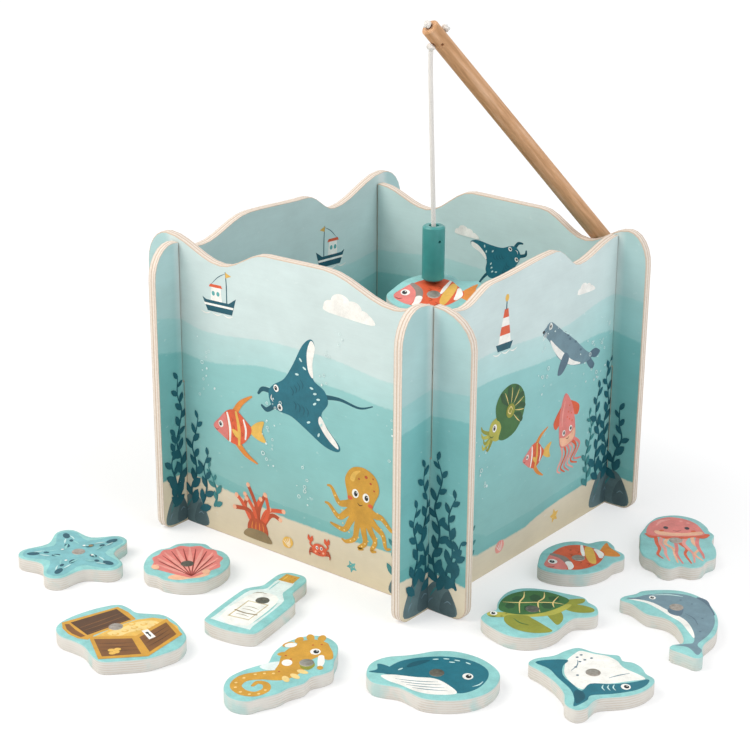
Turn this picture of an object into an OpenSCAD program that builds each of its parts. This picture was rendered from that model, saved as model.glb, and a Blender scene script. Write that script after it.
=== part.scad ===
// Magnetic fishing game: four slotted plywood walls with wavy tops make an open tank,
// a rod hangs a magnetic lure over it, and flat catch pieces with steel discs lie round it.
// The origin is at the middle of the front wall's foot, on the floor; +Z is up.

/* [Tank] */
// Distance between the middles of two opposite walls
tank_w = 200; // [180:1:230]
// How far a wall runs past the middle of a wall that it crosses
wing_l = 25; // [18:1:34]
// The same at the near corner, where the front wall and the right wall cross
near_wing_l = 31; // [18:1:36]
// Height of a wall at the crest of its wave
wall_h = 198; // [170:1:230]
// Thickness of the plywood walls
wall_t = 6; // [4:0.5:9]
// How deep the valleys of the wavy top are
wave_depth = 14; // [6:1:22]
// How far the top corners of a wall round down at its ends
wing_drop = 22; // [10:1:40]
// Radius of the bottom corners of a wall
foot_r = 9; // [3:1:15]
// Play on each side of a wall in the slot that it crosses
slot_gap = 0.3; // [0.2:0.05:0.6]

/* [Rod] */
// Diameter of the rod at its tip
rod_tip_d = 11; // [9:0.5:14]
// Diameter of the rod at its butt
rod_butt_d = 12; // [9:0.5:14]
// How far the rod runs past its string hole
rod_end = 10; // [8:1:30]
// How far the rod runs on past the back wall, over whose valley it lies
rod_over = 20; // [12:1:60]
// Rounding of the rod's two ends
rod_edge = 0.8; // [0.4:0.1:1.5]
// Radial play of the string in the rod's holes
hole_gap = 0.4; // [0.2:0.1:0.8]
// Diameter of the small pin hole in the rod's side
pin_hole_d = 1.8; // [1:0.1:2.4]
// Depth of the small pin holes in the rod and in the lure
pin_hole_depth = 2; // [1:0.25:3]

/* [String] */
// Diameter of the cotton string
string_d = 3; // [2:0.1:3.6]
// Diameter of the three knots at the rod's tip
knot_d = 5.8; // [5:0.2:7]
// Diameter of the knot inside the lure, which the lure's bore holds back
lure_knot_d = 7.8; // [7.4:0.2:8.6]

/* [Lure] */
// Diameter of the turned wooden lure
lure_d = 14; // [13:0.5:20]
// Length of the lure
lure_l = 34.5; // [28:0.5:60]
// Diameter of the hole that the string enters
lure_bore_d = 6.4; // [5:0.2:7]
// Rounding of the lure's two ends
lure_edge = 1; // [0.4:0.1:1.5]
// Diameter of the magnet in the lure's lower end
magnet_d = 10; // [9:0.5:11]
// Thickness of the magnet
magnet_t = 5; // [3:0.5:8]

/* [Catch pieces] */
// Length of the whale; the other pieces and the room between them grow and shrink with it
whale_l = 74; // [62:1:86]
// Thickness of the catch pieces
catch_t = 9; // [6:0.5:12]
// Diameter of the steel disc in each catch piece
disc_d = 8.5; // [6:0.5:10]
// Thickness of the steel disc
disc_t = 2; // [1:0.25:4]
// Radial play of a disc or a magnet in its seat
seat_gap = 0.05; // [0.02:0.01:0.15]
// How far the hanging fish tips down towards the near corner
catch_tilt = 16; // [0:1:22]
// How far behind the fish's disc the lure grips it
grip_back = 13; // [12:0.5:15]

/* [Hidden] */
$fn = 48;

// Small clearances: round a seated piece, under the leaning rod, and past the faces of a cut
hair = 0.05;
rest_gap = 0.45;
slop = 1;

// A wall's wave from its left end to its right end, seen from outside the tank: each pair is
// a place as a share of half the tank's width, and a share of wave_depth below the crest.
front_wave = [[-1.08, 0.05], [-0.62, 1], [-0.24, 0.05], [0.22, 0], [0.75, 1], [1.04, 0.4]];
right_wave = [[-1.14, 0.25], [-0.71, 1.15], [-0.42, 0.5], [0.24, 0.2], [0.52, 1.25], [0.96, 0.6]];
back_wave = [[-1.1, 0.3], [-0.78, 1.15], [-0.42, 0.05], [0.14, 0], [0.53, 1.3], [0.94, 0.5]];
left_wave = [[-1.05, 0], [-0.5, 1.1], [-0.22, 0.15], [0.36, 0], [0.82, 0.85], [1.08, 0.35]];

// The way the string hangs, from the knot under the rod to the knot inside the lure
string_path = [
    [41, 74, 318.5], [41, 74, 309.5], [41.5, 74.5, 285], [42.5, 75, 255],
    [43.5, 75.5, 225], [44, 76, 205], [44, 76, 186.5]
];

half_w = tank_w / 2;
mid_h = wall_h / 2;

// Where the small pin holes are: turned so far round, so far up the lure and back on the rod
pin_turn = 30;
pin_share = 0.74;
pin_back = 2;

// Where the string starts and ends, and the radii that the rod and the knots share. A knot's
// two turns press together, so it is a little less high than two diameters of string. The bore
// in the rod's end is a little wider than the hole across it, and the tail in it drawn thinner.
string_top = string_path[0];
string_end = string_path[len(string_path) - 1];
string_r = string_d / 2;
string_hole_r = string_r + hole_gap;
end_hole_r = string_hole_r + 4 * hair;
tail_r = string_r - hair;
knot_turns = 1.35;
knot_h = knot_turns * string_d;

// The rod leans over the valley near the right end of the back wall. Its axis passes above the
// outer edge of the wall's top, and above the knot that the string hangs from.
valley = back_wave[1];
rest = [-valley.x * half_w, tank_w + wall_t / 2, wall_h - valley.y * wave_depth];
knot_off = rod_tip_d / 2 + knot_h / 2;
knot_middle = string_top + [0, 0, knot_h / 2];
rest_slope = (knot_middle.z - rest.z) / (rest.y - knot_middle.y);
over_rest = rest + [0, 0, (rod_butt_d / 2 + rest_gap) * norm([1, rest_slope])];
to_knot = knot_middle - over_rest;
knot_reach = norm(to_knot);
rod_rise = asin(to_knot.z / knot_reach) + asin(knot_off / knot_reach);
rod_heading = atan2(to_knot.y, to_knot.x);
rod_way = [cos(rod_rise) * cos(rod_heading), cos(rod_rise) * sin(rod_heading), sin(rod_rise)];
butt = over_rest - rod_over * rod_way;
hole_reach = rod_over + sqrt(knot_reach * knot_reach - knot_off * knot_off);
rod_l = hole_reach + rod_end;

// The lure hangs on the knot inside it, with the magnet below that knot
chamber_top = string_end.z + hair;
chamber_d = magnet_d + 2 * seat_gap;
lure_foot = chamber_top - knot_h - magnet_t - 4 * hair;

// The hanging fish lies across the view from the near corner, gripped behind its disc
view_turn = 39;
fish_swing = -9;
grip_lift = (grip_back + lure_d / 2) * tan(catch_tilt) + hair;
caught_at = [string_end.x + grip_back * sin(view_turn), string_end.y - grip_back * cos(view_turn),
             lure_foot - grip_lift];

// Outlines of the catch pieces round the middle of their discs
star_arms = 5;
star_middle = [-2, -1];
star_tip_r = 34.5;
star_waist_r = 24;
star_tip_half = 9;
star_outline = [for (i = [0:star_arms - 1]) each let (a = 90 + i * 360 / star_arms) [
    star_middle + polar(star_tip_r, a - star_tip_half),
    star_middle + polar(star_tip_r, a + star_tip_half),
    star_middle + polar(star_waist_r, a + 180 / star_arms)
]];
shell_outline = [
    [0, 30], [9, 28.5], [14, 22], [21, 17.5], [25.5, 9], [26, -2], [22, -12], [17, -18],
    [12, -23], [0, -25], [-12, -21.5], [-17, -16.5], [-24, -12.5], [-27, -2], [-25.5, 11],
    [-20, 20], [-14, 23], [-9, 28.5]
];
bottle_outline = mirrored([[0, 40.5], [6, 39.5], [10, 34], [10.5, 24], [11, 17], [16, 11],
                           [18.5, 3], [18.5, -30], [15, -38], [0, -40.5]]);
chest_outline = [
    [-34, 3], [-30, 10], [-23, 17], [-13, 24], [-2, 28], [5, 23.5], [10, 18], [19, 16.5],
    [26, 15], [33, 8], [39, -3], [42, -13], [39, -24], [31, -31], [22, -36.5], [9, -39],
    [-3, -40], [-9, -34], [-15, -23], [-22, -16.5], [-30, -11], [-34, -4]
];
seahorse_outline = [
    [-44.5, -24], [-42, -15], [-34, -7], [-26, -2], [-21.5, 1], [-19, 12], [-13, 23],
    [-5, 29.5], [4, 32], [12, 29], [17, 21], [17, 10], [15.5, 2], [14.5, -7], [9, -12],
    [3, -15], [-1, -22], [-9, -27], [-15, -33], [-24, -37.5], [-31, -41], [-39, -38.5],
    [-43.5, -32]
];
whale_outline = [
    [-39, 0], [-36.5, 11], [-28, 18], [-17, 20], [-9, 22], [0, 25], [12, 24.5], [24, 18],
    [32, 8], [35, -2], [32, -13.5], [25, -22.5], [14, -28], [2, -29], [-9, -26.5], [-16, -20],
    [-22, -15], [-32, -12], [-37, -8]
];
shark_outline = [
    [-35, 10], [-31, 16], [-20, 19.5], [-13, 25], [-5, 28.5], [3, 23.5], [10, 21], [17, 19.5],
    [18.5, 13.5], [24, 11.5], [28, 6], [29.5, -1], [33, -6.5], [31, -13], [24, -20.5],
    [14, -25], [1, -27], [-4, -31], [-8, -37], [-14, -39], [-19, -33], [-18.5, -22],
    [-22, -10], [-29, 2]
];
turtle_outline = [
    [-31, -9], [-27, -3.5], [-21.5, 0], [-20, 9], [-15, 20], [-8, 26], [1, 27.5], [12, 25],
    [22, 20.5], [32, 15.5], [34.5, 9], [38.5, 3], [38, -6], [32, -9.5], [24, -10.5],
    [18, -17], [12, -26], [3, -32.5], [-7, -34.5], [-17, -31.5], [-25, -23], [-30, -15]
];
fish_outline = [
    [-28.5, -5], [-26, 2], [-20, 13], [-12, 20], [-1, 24], [9, 23], [14, 18.5], [21, 19.5],
    [27, 18.5], [28.5, 11], [27.5, 5], [30, -2], [27, -8.5], [19, -11.5], [13, -16.5],
    [4, -20.5], [-6, -21.5], [-17, -18], [-25, -12]
];
jellyfish_outline = [
    [5, 39], [14, 36], [20, 30], [23.5, 21], [24, 14.5], [26, 8], [23, -1], [23.5, -12],
    [21, -24], [14.5, -29.5], [10, -36.5], [3, -38.5], [-3, -36], [-10, -39.5], [-16, -36],
    [-19, -28], [-24, -22], [-25, -12], [-23, 0], [-22, 9], [-18, 18], [-13, 28], [-6, 36]
];
dolphin_outline = [
    [-32, 10], [-29, 14.5], [-22, 17.5], [-17, 21.5], [-6, 23], [5, 22], [14, 16.5],
    [19.5, 8], [21.5, -1], [22.5, -10], [21, -21], [17, -33], [9, -44], [6.5, -51],
    [5.5, -58.5], [1, -60.5], [-5, -55.5], [-11.5, -50], [-10, -45.5], [-3.5, -43],
    [-2, -34], [-4, -21], [-9, -13], [-18, -8.5], [-22, -2.5], [-26, 5]
];

// How much the outlines grow so that the whale gets its length
whale_reach = [for (p = whale_outline) p.x];
grow = whale_l / (max(whale_reach) - min(whale_reach));

// The loose pieces: x, y and turn, with those on the right measured from the right wall
starfish_at = [-104 * grow, -94 * grow, 59];
shell_at = [-39 * grow, -63 * grow, 39];
chest_at = [-14 * grow, -148 * grow, 39];
bottle_at = [30 * grow, -70 * grow, 10];
seahorse_at = [99 * grow, -110 * grow, 39];
whale_at = [half_w + 62 * grow, -73 * grow, 39];
shark_at = [half_w + 129 * grow, -18 * grow, 39];
turtle_at = [half_w + 61 * grow, 23 * grow, 39];
fish_at = [half_w + 45 * grow, 98 * grow, 54];
jellyfish_at = [half_w + 80 * grow, 159 * grow, 39];
dolphin_at = [half_w + 126 * grow, 79 * grow, 39];

arc_steps = 6;
wave_steps = 6;
curve_steps = 4;
string_sides = 8;
string_rings = 24;
string_step = 0.01;

ply_colour = "#c3dedd";
beech_colour = "#c9996b";
string_colour = "#e8e4dc";
lure_colour = "#3f8f8c";
steel_colour = "#9d978d";
magnet_colour = "#5a5d60";
rim_colour = "#8cc9c7";

function polar(r, a) = [r * cos(a), r * sin(a)];

// The second half of a symmetrical outline is the first half seen in a mirror on the Y axis
function mirrored(half) = concat(half, [for (i = [len(half) - 2:-1:1]) [-half[i].x, half[i].y]]);

// A point a share u of the way from b to c, on a smooth curve through a, b, c and d
function curve_point(a, b, c, d, u) =
    b + u * ((c - a) / 2 + u * ((2 * a - 5 * b + 4 * c - d) / 2 + u * (3 * b - a - 3 * c + d) / 2));

// A closed smooth outline through the given points
function smooth_loop(points) = let (n = len(points)) [
    for (i = [0:n - 1], j = [0:curve_steps - 1])
        curve_point(points[(i + n - 1) % n], points[i], points[(i + 1) % n],
                    points[(i + 2) % n], j / curve_steps)
];

// A point a share u of the way along an open smooth curve through the given points
function along(points, u) =
    let (last = len(points) - 1, place = u * last, i = min(floor(place), last - 1))
    curve_point(points[max(i - 1, 0)], points[i], points[i + 1], points[min(i + 2, last)],
                place - i);

function unit(v) = v / norm(v);

// A quarter of an ellipse round centre c, with half axes a and b, between two angles
function arc(c, a, b, from, to) = [
    for (i = [0:arc_steps]) let (t = from + (to - from) * i / arc_steps)
        c + [a * cos(t), b * sin(t)]
];

// The wave's own points in millimetres
function crest_points(wave) = [for (p = wave) [p.x * half_w, wall_h - p.y * wave_depth]];

// Between two of its points the wave rises and falls as half a cosine
function wave_line(points) = [
    for (i = [0:len(points) - 2], j = [0:wave_steps - 1])
        let (p = points[i], q = points[i + 1], u = j / wave_steps)
        [p.x + (q.x - p.x) * u, p.y + (q.y - p.y) * (1 - cos(180 * u)) / 2],
    points[len(points) - 1]
];

// The outline of a wall with its ends at left and right, from its left foot to its right foot
function wall_outline(wave, left, right) =
    let (pts = crest_points(wave), first = pts[0], last = pts[len(pts) - 1])
    concat(
        arc([left + foot_r, foot_r], foot_r, foot_r, 270, 180),
        arc([first.x, first.y - wing_drop], first.x - left, wing_drop, 180, 90),
        wave_line(pts),
        arc([last.x, last.y - wing_drop], right - last.x, wing_drop, 90, 0),
        arc([right - foot_r, foot_r], foot_r, foot_r, 0, -90)
    );

// A slot that the crossing wall fills, from from_z to to_z
module slot(x, from_z, to_z) {
    translate([x - wall_t / 2 - slot_gap, from_z])
        square([wall_t + 2 * slot_gap, to_z - from_z]);
}

// A wall with a slot open downwards near its left end and one open upwards near its right.
// Each wall is the front one turned round the tank by quarter turns.
module wall(wave, quarter_turns, left_wing, right_wing) {
    color(ply_colour)
        translate([0, half_w])
            rotate(90 * quarter_turns)
                translate([0, wall_t / 2 - half_w])
                    rotate([90, 0, 0])
                        linear_extrude(wall_t)
                            difference() {
                                polygon(wall_outline(wave, -half_w - left_wing,
                                                     half_w + right_wing));
                                slot(-half_w, -slop, mid_h);
                                slot(half_w, mid_h, wall_h + slop);
                            }
}

module front_wall() wall(front_wave, 0, wing_l, near_wing_l);
module right_wall() wall(right_wave, 1, near_wing_l, wing_l);
module back_wall() wall(back_wave, 2, wing_l, wing_l);
module left_wall() wall(left_wave, 3, wing_l, wing_l);

// Moves children from an upright rod, butt at the origin, to the leaning rod
module leaning() {
    translate(butt)
        rotate(rod_heading)
            rotate([0, 90 - rod_rise, 0])
                children();
}

// The rod's tapered body, rounded off at both ends
module rod_body() {
    rotate_extrude() {
        translate([0, rod_edge])
            polygon([[0, 0], [rod_butt_d / 2, 0], [rod_tip_d / 2, rod_l - 2 * rod_edge],
                     [0, rod_l - 2 * rod_edge]]);
        polygon([[0, 0], [rod_butt_d / 2 - rod_edge, 0], [rod_butt_d / 2, rod_edge],
                 [0, rod_edge]]);
        polygon([[0, rod_l - rod_edge], [rod_tip_d / 2, rod_l - rod_edge],
                 [rod_tip_d / 2 - rod_edge, rod_l], [0, rod_l]]);
    }
}

module rod() {
    color(beech_colour)
        leaning()
            difference() {
                rod_body();
                translate([0, 0, hole_reach]) {
                    rotate([0, 90, 0])
                        cylinder(h = 2 * rod_tip_d, r = string_hole_r, center = true);
                    cylinder(h = rod_end + slop, r = end_hole_r);
                }
                rotate(-pin_turn)
                    translate([0, rod_tip_d / 2 + slop, hole_reach - pin_back])
                        rotate([90, 0, 0])
                            cylinder(h = pin_hole_depth + slop, d = pin_hole_d);
            }
}

// A knot: two turns of string round a core, standing on its own foot
module knot(d) {
    ring_r = knot_h / 4;
    rotate_extrude() {
        square([d / 2 - ring_r, knot_h]);
        translate([d / 2 - ring_r, ring_r])
            circle(ring_r);
        translate([d / 2 - ring_r, knot_h - ring_r])
            circle(ring_r);
    }
}

// The string's tail: knotted above and below the cross hole and again on the rod's end
module tip_knots() {
    face = rod_tip_d / 2 + hair;
    color(string_colour)
        leaning()
            translate([0, 0, hole_reach]) {
                rotate([0, 90, 0]) {
                    cylinder(h = 2 * face, r = string_r, center = true);
                    translate([0, 0, face])
                        knot(knot_d);
                    translate([0, 0, -face - knot_h])
                        knot(knot_d);
                }
                cylinder(h = rod_end + hair, r = tail_r);
                translate([0, 0, rod_end + hair])
                    knot(knot_d);
            }
}

// One ring of the string's tube at the share u of its path
function string_ring(u) =
    let (p = along(string_path, u),
         d = unit(along(string_path, min(u + string_step, 1))
                  - along(string_path, max(u - string_step, 0))),
         side = unit(cross([0, 1, 0], d)),
         front = cross(d, side))
    [for (k = [0:string_sides - 1]) let (a = 360 * k / string_sides)
        p + string_r * (cos(a) * side + sin(a) * front)];

module string() {
    n = string_sides;
    points = [for (i = [0:string_rings]) each string_ring(i / string_rings)];
    ends = [[for (k = [0:n - 1]) k], [for (k = [n - 1:-1:0]) string_rings * n + k]];
    sides = [for (i = [0:string_rings - 1], k = [0:n - 1])
        let (a = i * n + k, b = i * n + (k + 1) % n)
        each [[a, a + n, b], [b, a + n, b + n]]];
    color(string_colour)
        polyhedron(points, concat(ends, sides));
}

// The turned lure: a narrow bore over a wider chamber for the knot and the magnet
module lure() {
    r = lure_d / 2;
    color(lure_colour)
        translate([string_end.x, string_end.y, lure_foot])
            difference() {
                rotate_extrude()
                    polygon([[0, 0], [r - lure_edge, 0], [r, lure_edge], [r, lure_l - lure_edge],
                             [r - lure_edge, lure_l], [0, lure_l]]);
                translate([0, 0, -slop])
                    cylinder(h = chamber_top - lure_foot + slop, d = chamber_d);
                cylinder(h = lure_l + slop, d = lure_bore_d);
                rotate(view_turn + pin_turn)
                    translate([0, -r - slop, lure_l * pin_share])
                        rotate([-90, 0, 0])
                            cylinder(h = pin_hole_depth + slop, d = pin_hole_d);
            }
}

module lure_knot() {
    color(string_colour)
        translate([string_end.x, string_end.y, string_end.z - knot_h])
            knot(lure_knot_d);
}

module lure_magnet() {
    color(magnet_colour)
        translate([string_end.x, string_end.y, lure_foot])
            cylinder(h = magnet_t, d = magnet_d);
}

// Stands children at a place [x, y, turn] on the floor, lifted to the top of a catch piece
module laid(place) {
    translate([place.x, place.y, catch_t])
        rotate(place.z)
            children();
}

// Hangs children under the lure, tipped towards the near corner
module hung() {
    translate(caught_at)
        rotate(view_turn)
            rotate([catch_tilt, 0, 0])
                rotate(fish_swing)
                    children();
}

// A flat piece of ply below z = 0, with a seat for its disc
module catch_piece(outline) {
    color(rim_colour)
        difference() {
            translate([0, 0, -catch_t])
                linear_extrude(catch_t)
                    polygon(smooth_loop(outline * grow));
            translate([0, 0, -disc_t])
                cylinder(h = disc_t + slop, d = disc_d + 2 * seat_gap);
        }
}

module steel_disc() {
    color(steel_colour)
        translate([0, 0, -disc_t])
            cylinder(h = disc_t, d = disc_d);
}

module caught_fish() hung() catch_piece(fish_outline);
module starfish() laid(starfish_at) catch_piece(star_outline);
module shell() laid(shell_at) catch_piece(shell_outline);
module chest() laid(chest_at) catch_piece(chest_outline);
module bottle() laid(bottle_at) catch_piece(bottle_outline);
module seahorse() laid(seahorse_at) catch_piece(seahorse_outline);
module whale() laid(whale_at) catch_piece(whale_outline);
module shark() laid(shark_at) catch_piece(shark_outline);
module turtle() laid(turtle_at) catch_piece(turtle_outline);
module fish() laid(fish_at) catch_piece(fish_outline);
module jellyfish() laid(jellyfish_at) catch_piece(jellyfish_outline);
module dolphin() laid(dolphin_at) catch_piece(dolphin_outline);

front_wall();
right_wall();
back_wall();
left_wall();
rod();
tip_knots();
string();
lure();
lure_knot();
lure_magnet();
caught_fish();
starfish();
shell();
chest();
bottle();
seahorse();
whale();
shark();
turtle();
fish();
jellyfish();
dolphin();
hung() steel_disc();  // caught_fish_disc
laid(starfish_at) steel_disc();  // starfish_disc
laid(shell_at) steel_disc();  // shell_disc
laid(chest_at) steel_disc();  // chest_disc
laid(bottle_at) steel_disc();  // bottle_disc
laid(seahorse_at) steel_disc();  // seahorse_disc
laid(whale_at) steel_disc();  // whale_disc
laid(shark_at) steel_disc();  // shark_disc
laid(turtle_at) steel_disc();  // turtle_disc
laid(fish_at) steel_disc();  // fish_disc
laid(jellyfish_at) steel_disc();  // jellyfish_disc
laid(dolphin_at) steel_disc();  // dolphin_disc
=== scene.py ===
import math

import bmesh
import bpy
from mathutils import Matrix, Vector
from mathutils.geometry import tessellate_polygon as tessellate


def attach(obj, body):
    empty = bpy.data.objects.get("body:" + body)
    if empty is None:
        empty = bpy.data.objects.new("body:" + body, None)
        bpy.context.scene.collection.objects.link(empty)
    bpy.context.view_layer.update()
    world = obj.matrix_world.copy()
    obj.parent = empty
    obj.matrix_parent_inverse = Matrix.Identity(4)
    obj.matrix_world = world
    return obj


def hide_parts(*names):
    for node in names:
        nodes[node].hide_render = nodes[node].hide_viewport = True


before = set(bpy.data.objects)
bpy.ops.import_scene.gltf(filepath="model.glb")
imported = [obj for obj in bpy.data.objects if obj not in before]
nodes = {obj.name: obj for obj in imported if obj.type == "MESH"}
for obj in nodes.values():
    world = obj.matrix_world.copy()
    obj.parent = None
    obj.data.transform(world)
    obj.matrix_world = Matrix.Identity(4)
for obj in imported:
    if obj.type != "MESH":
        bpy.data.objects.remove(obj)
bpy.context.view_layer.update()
mm = 0.001


# sRGB hex colour to linear, with alpha
def toLinear(hexColour):
    parts = [int(hexColour[i:i + 2], 16) / 255 for i in (1, 3, 5)]
    return [c / 12.92 if c <= 0.04045 else ((c + 0.055) / 1.055) ** 2.4 for c in parts] + [1]


# links a socket, or a node's first output, given as an input; anything else is set on it
def feed(tree, node, inputs):
    for key, value in inputs.items():
        if isinstance(value, bpy.types.Node):
            value = value.outputs[0]
        if isinstance(value, bpy.types.NodeSocket):
            tree.links.new(value, node.inputs[key])
        else:
            node.inputs[key].default_value = value


# a node with its settings and links, and on a ramp the colours at (place, hex colour) stops
def addNode(tree, kind, inputs=None, stops=(), **settings):
    node = tree.nodes.new(kind)
    for key, value in settings.items():
        setattr(node, key, value)
    feed(tree, node, inputs or {})
    if stops:
        spots = node.color_ramp.elements
        for spot, (at, colour) in zip(spots, (stops[0], stops[-1])):
            spot.position, spot.color = at, toLinear(colour)
        for at, colour in stops[1:-1]:
            spots.new(at).color = toLinear(colour)
    return node


def newMaterial(name):
    material = bpy.data.materials.new(name)
    material.use_nodes = True
    tree = material.node_tree
    place = addNode(tree, "ShaderNodeTexCoord").outputs["Object"]
    return material, tree, tree.nodes["Principled BSDF"], place


# a factor that a noise of so many lumps a metre moves between low and high
def mottle(tree, place, scale, low, high, start=0.3, end=0.7, **more):
    noise = addNode(tree, "ShaderNodeTexNoise", {"Vector": place, "Scale": scale,
                                                 "Detail": 4.0, **more})
    return addNode(tree, "ShaderNodeMapRange", {"Value": noise.outputs["Fac"], 1: start, 2: end,
                                                3: low, 4: high})


# a colour darkened or lightened by factors
def shaded(tree, colour, *factors):
    for factor in factors:
        colour = addNode(tree, "ShaderNodeVectorMath", {0: colour, 1: factor},
                         operation="MULTIPLY")
    return colour


# colour, relief, roughness and gloss on a shader
def coat(tree, shader, colour, height, strength, depth, roughness, gloss):
    bump = addNode(tree, "ShaderNodeBump", {"Height": height, "Strength": strength,
                                            "Distance": depth * mm})
    feed(tree, shader, {"Base Color": colour, "Normal": bump, "Roughness": roughness,
                        "Specular IOR Level": gloss})


def newObject(name, mesh):
    made = bpy.data.objects.new(name, mesh)
    bpy.context.scene.collection.objects.link(made)
    return made


# rides and stands in for CAD nodes
def fit(piece, slotName, *replaced):
    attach(piece, "root")
    if replaced:
        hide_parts(*replaced)


# a smooth curve through points of any dimension
def smoothLine(points, steps, closed=False):
    n = len(points)
    out = []
    for i in range(n if closed else n - 1):
        ring = [(i - 1) % n, i, (i + 1) % n, (i + 2) % n] if closed else \
            [max(i - 1, 0), i, i + 1, min(i + 2, n - 1)]
        a, b, c, d = (points[k] for k in ring)
        for j in range(steps):
            u = j / steps
            out.append(tuple(
                q + u * ((r - p) / 2 + u * ((2 * p - 5 * q + 4 * r - s) / 2
                                            + u * (3 * q - p - 3 * r + s) / 2))
                for p, q, r, s in zip(a, b, c, d)))
    if not closed:
        out.append(tuple(points[-1]))
    return out


# the photo's camera, fitted to the tank's edges
camera = dict(place=(684.3, -786.3, 514.3), azimuth=38.4906, elevation=20.4649,
              roll=0.3412, lens=87.14, sensor=36, nearest=0.05, farthest=50)


def addCamera():
    az, el, roll = (math.radians(camera[k]) for k in ("azimuth", "elevation", "roll"))
    back = Vector((math.sin(az) * math.cos(el), -math.cos(az) * math.cos(el), math.sin(el)))
    right = Vector((math.cos(az), math.sin(az), 0))
    up = back.cross(right)
    x = right * math.cos(roll) + up * math.sin(roll)
    y = up * math.cos(roll) - right * math.sin(roll)
    data = bpy.data.cameras.new("photoCamera")
    data.lens = camera["lens"]
    data.sensor_width = camera["sensor"]
    data.clip_start = camera["nearest"]
    data.clip_end = camera["farthest"]
    made = newObject("photoCamera", data)
    made.matrix_world = Matrix.Translation(Vector(camera["place"]) * mm) @ \
        Matrix((x, y, back)).transposed().to_4x4()
    bpy.context.scene.camera = made


addCamera()
print("camera placed")


# undyed cotton, three strands laid up: soft, fuzzy and without gloss
def cottonMaterial():
    material, tree, shader, place = newMaterial("undyed twisted cotton")
    lay = addNode(tree, "ShaderNodeUVMap", uv_map="lay")
    strands = addNode(tree, "ShaderNodeTexWave", {"Vector": lay, "Scale": 1.0,
                      "Distortion": 0.4, "Detail": 1.0, "Detail Scale": 3.0},
                      bands_direction="DIAGONAL").outputs["Fac"]
    fuzz = mottle(tree, lay, 9.0, 0.0, 1.0)
    height = addNode(tree, "ShaderNodeMath", {0: strands, 1: fuzz}, operation="ADD")
    colour = addNode(tree, "ShaderNodeValToRGB", {0: height},
                     stops=[(0.2, "#cfc8be"), (1.0, "#f3f0eb")])
    coat(tree, shader, colour, height, 0.5, 0.3, 0.9, 0.2)
    feed(tree, shader, {"Sheen Weight": 0.3})
    return material


cotton = cottonMaterial()

# the string's way, and the lay of its strands: how deep the grooves are and how far they turn
string = dict(path=[(41, 74, 318.5), (41, 74, 309.5), (41.5, 74.5, 285), (42.5, 75, 255),
                    (43.5, 75.5, 225), (44, 76, 205), (44, 76, 186.5)],
              diameter=3, strands=3, lobe=0.09, pitch=9, across=(0.3, 1, 0.2), sides=24,
              steps=10)


# a laid cord swept along a line in mm: its strands stand out as turning lobes
def laidCord(name, line, radius, closed=False, sides=string["sides"]):
    points = [Vector(p) for p in line]
    n = len(points)
    side = Vector(string["across"])
    rings, travel = [], 0
    for i, p in enumerate(points):
        before = points[(i - 1) % n] if closed or i else p
        after = points[(i + 1) % n] if closed or i < n - 1 else p
        along = (after - before).normalized()
        side = (side - along * side.dot(along)).normalized()
        front = along.cross(side)
        travel += (p - points[i - 1]).length if i else 0
        turn = travel / string["pitch"] * 2 * math.pi
        ring = []
        for k in range(sides):
            a = 2 * math.pi * k / sides
            r = radius * (1 - string["lobe"] * (1 - math.cos(string["strands"] * (a - turn))) / 2)
            ring.append((p + side * r * math.cos(a) + front * r * math.sin(a)) * mm)
        rings.append((ring, travel))
    mesh = bpy.data.meshes.new(name)
    bm = bmesh.new()
    uv = bm.loops.layers.uv.new("lay")
    rows = [[bm.verts.new(v) for v in ring] for ring, _ in rings]
    around = 2 * math.pi * radius
    for i in range(n if closed else n - 1):
        j = (i + 1) % n
        for k in range(sides):
            m = (k + 1) % sides
            face = bm.faces.new((rows[i][k], rows[j][k], rows[j][m], rows[i][m]))
            t0, t1 = rings[i][1], rings[j][1] if j else rings[i][1] + 1
            for loop, (u, v) in zip(face.loops, ((k, t0), (k, t1), (k + 1, t1), (k + 1, t0))):
                loop[uv].uv = (u / sides * around, v)
            face.smooth = True
    if not closed:
        bm.faces.new(rows[0])
        bm.faces.new(rows[-1][::-1])
    bmesh.ops.recalc_face_normals(bm, faces=bm.faces)
    bm.to_mesh(mesh)
    bm.free()
    mesh.materials.append(cotton)
    return newObject(name, mesh)


stringLine = smoothLine(string["path"], string["steps"])
stringPiece = laidCord("fishingString", stringLine, string["diameter"] / 2)
fit(stringPiece, "cotton_string", "string")


# the sea print's shares are of 200 mm, up from the floor or out from the tank's middle
sea = dict(reach=0.2, squeeze=1.6, streaks=(60.0, 60.0, 520.0), toMiddle=(0, -0.1, 0),
           sandTop=0.128, seaFoot=0.131, foam="#e6efed",
           bands=[(0.0, "#dacdb1"), (0.128, "#e0d5be"), (0.131, "#79b7b6"), (0.176, "#82bdbb"),
                  (0.179, "#8ec3c1"), (0.40, "#8ac1c0"), (0.612, "#91c5c4"), (0.616, "#aed2d1"),
                  (0.718, "#b6d5d4"), (0.722, "#c8d9d8"), (1.0, "#cbdbda")],
           # painted shade: tints laid over the water by distance out from the tank's middle, a
           # little on the inner faces and more on the wings
           depths=[(0.488, "#f3fcfc"), (0.498, "#ffffff"), (0.518, "#ffffff"),
                   (0.545, "#d7eced")])
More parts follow.
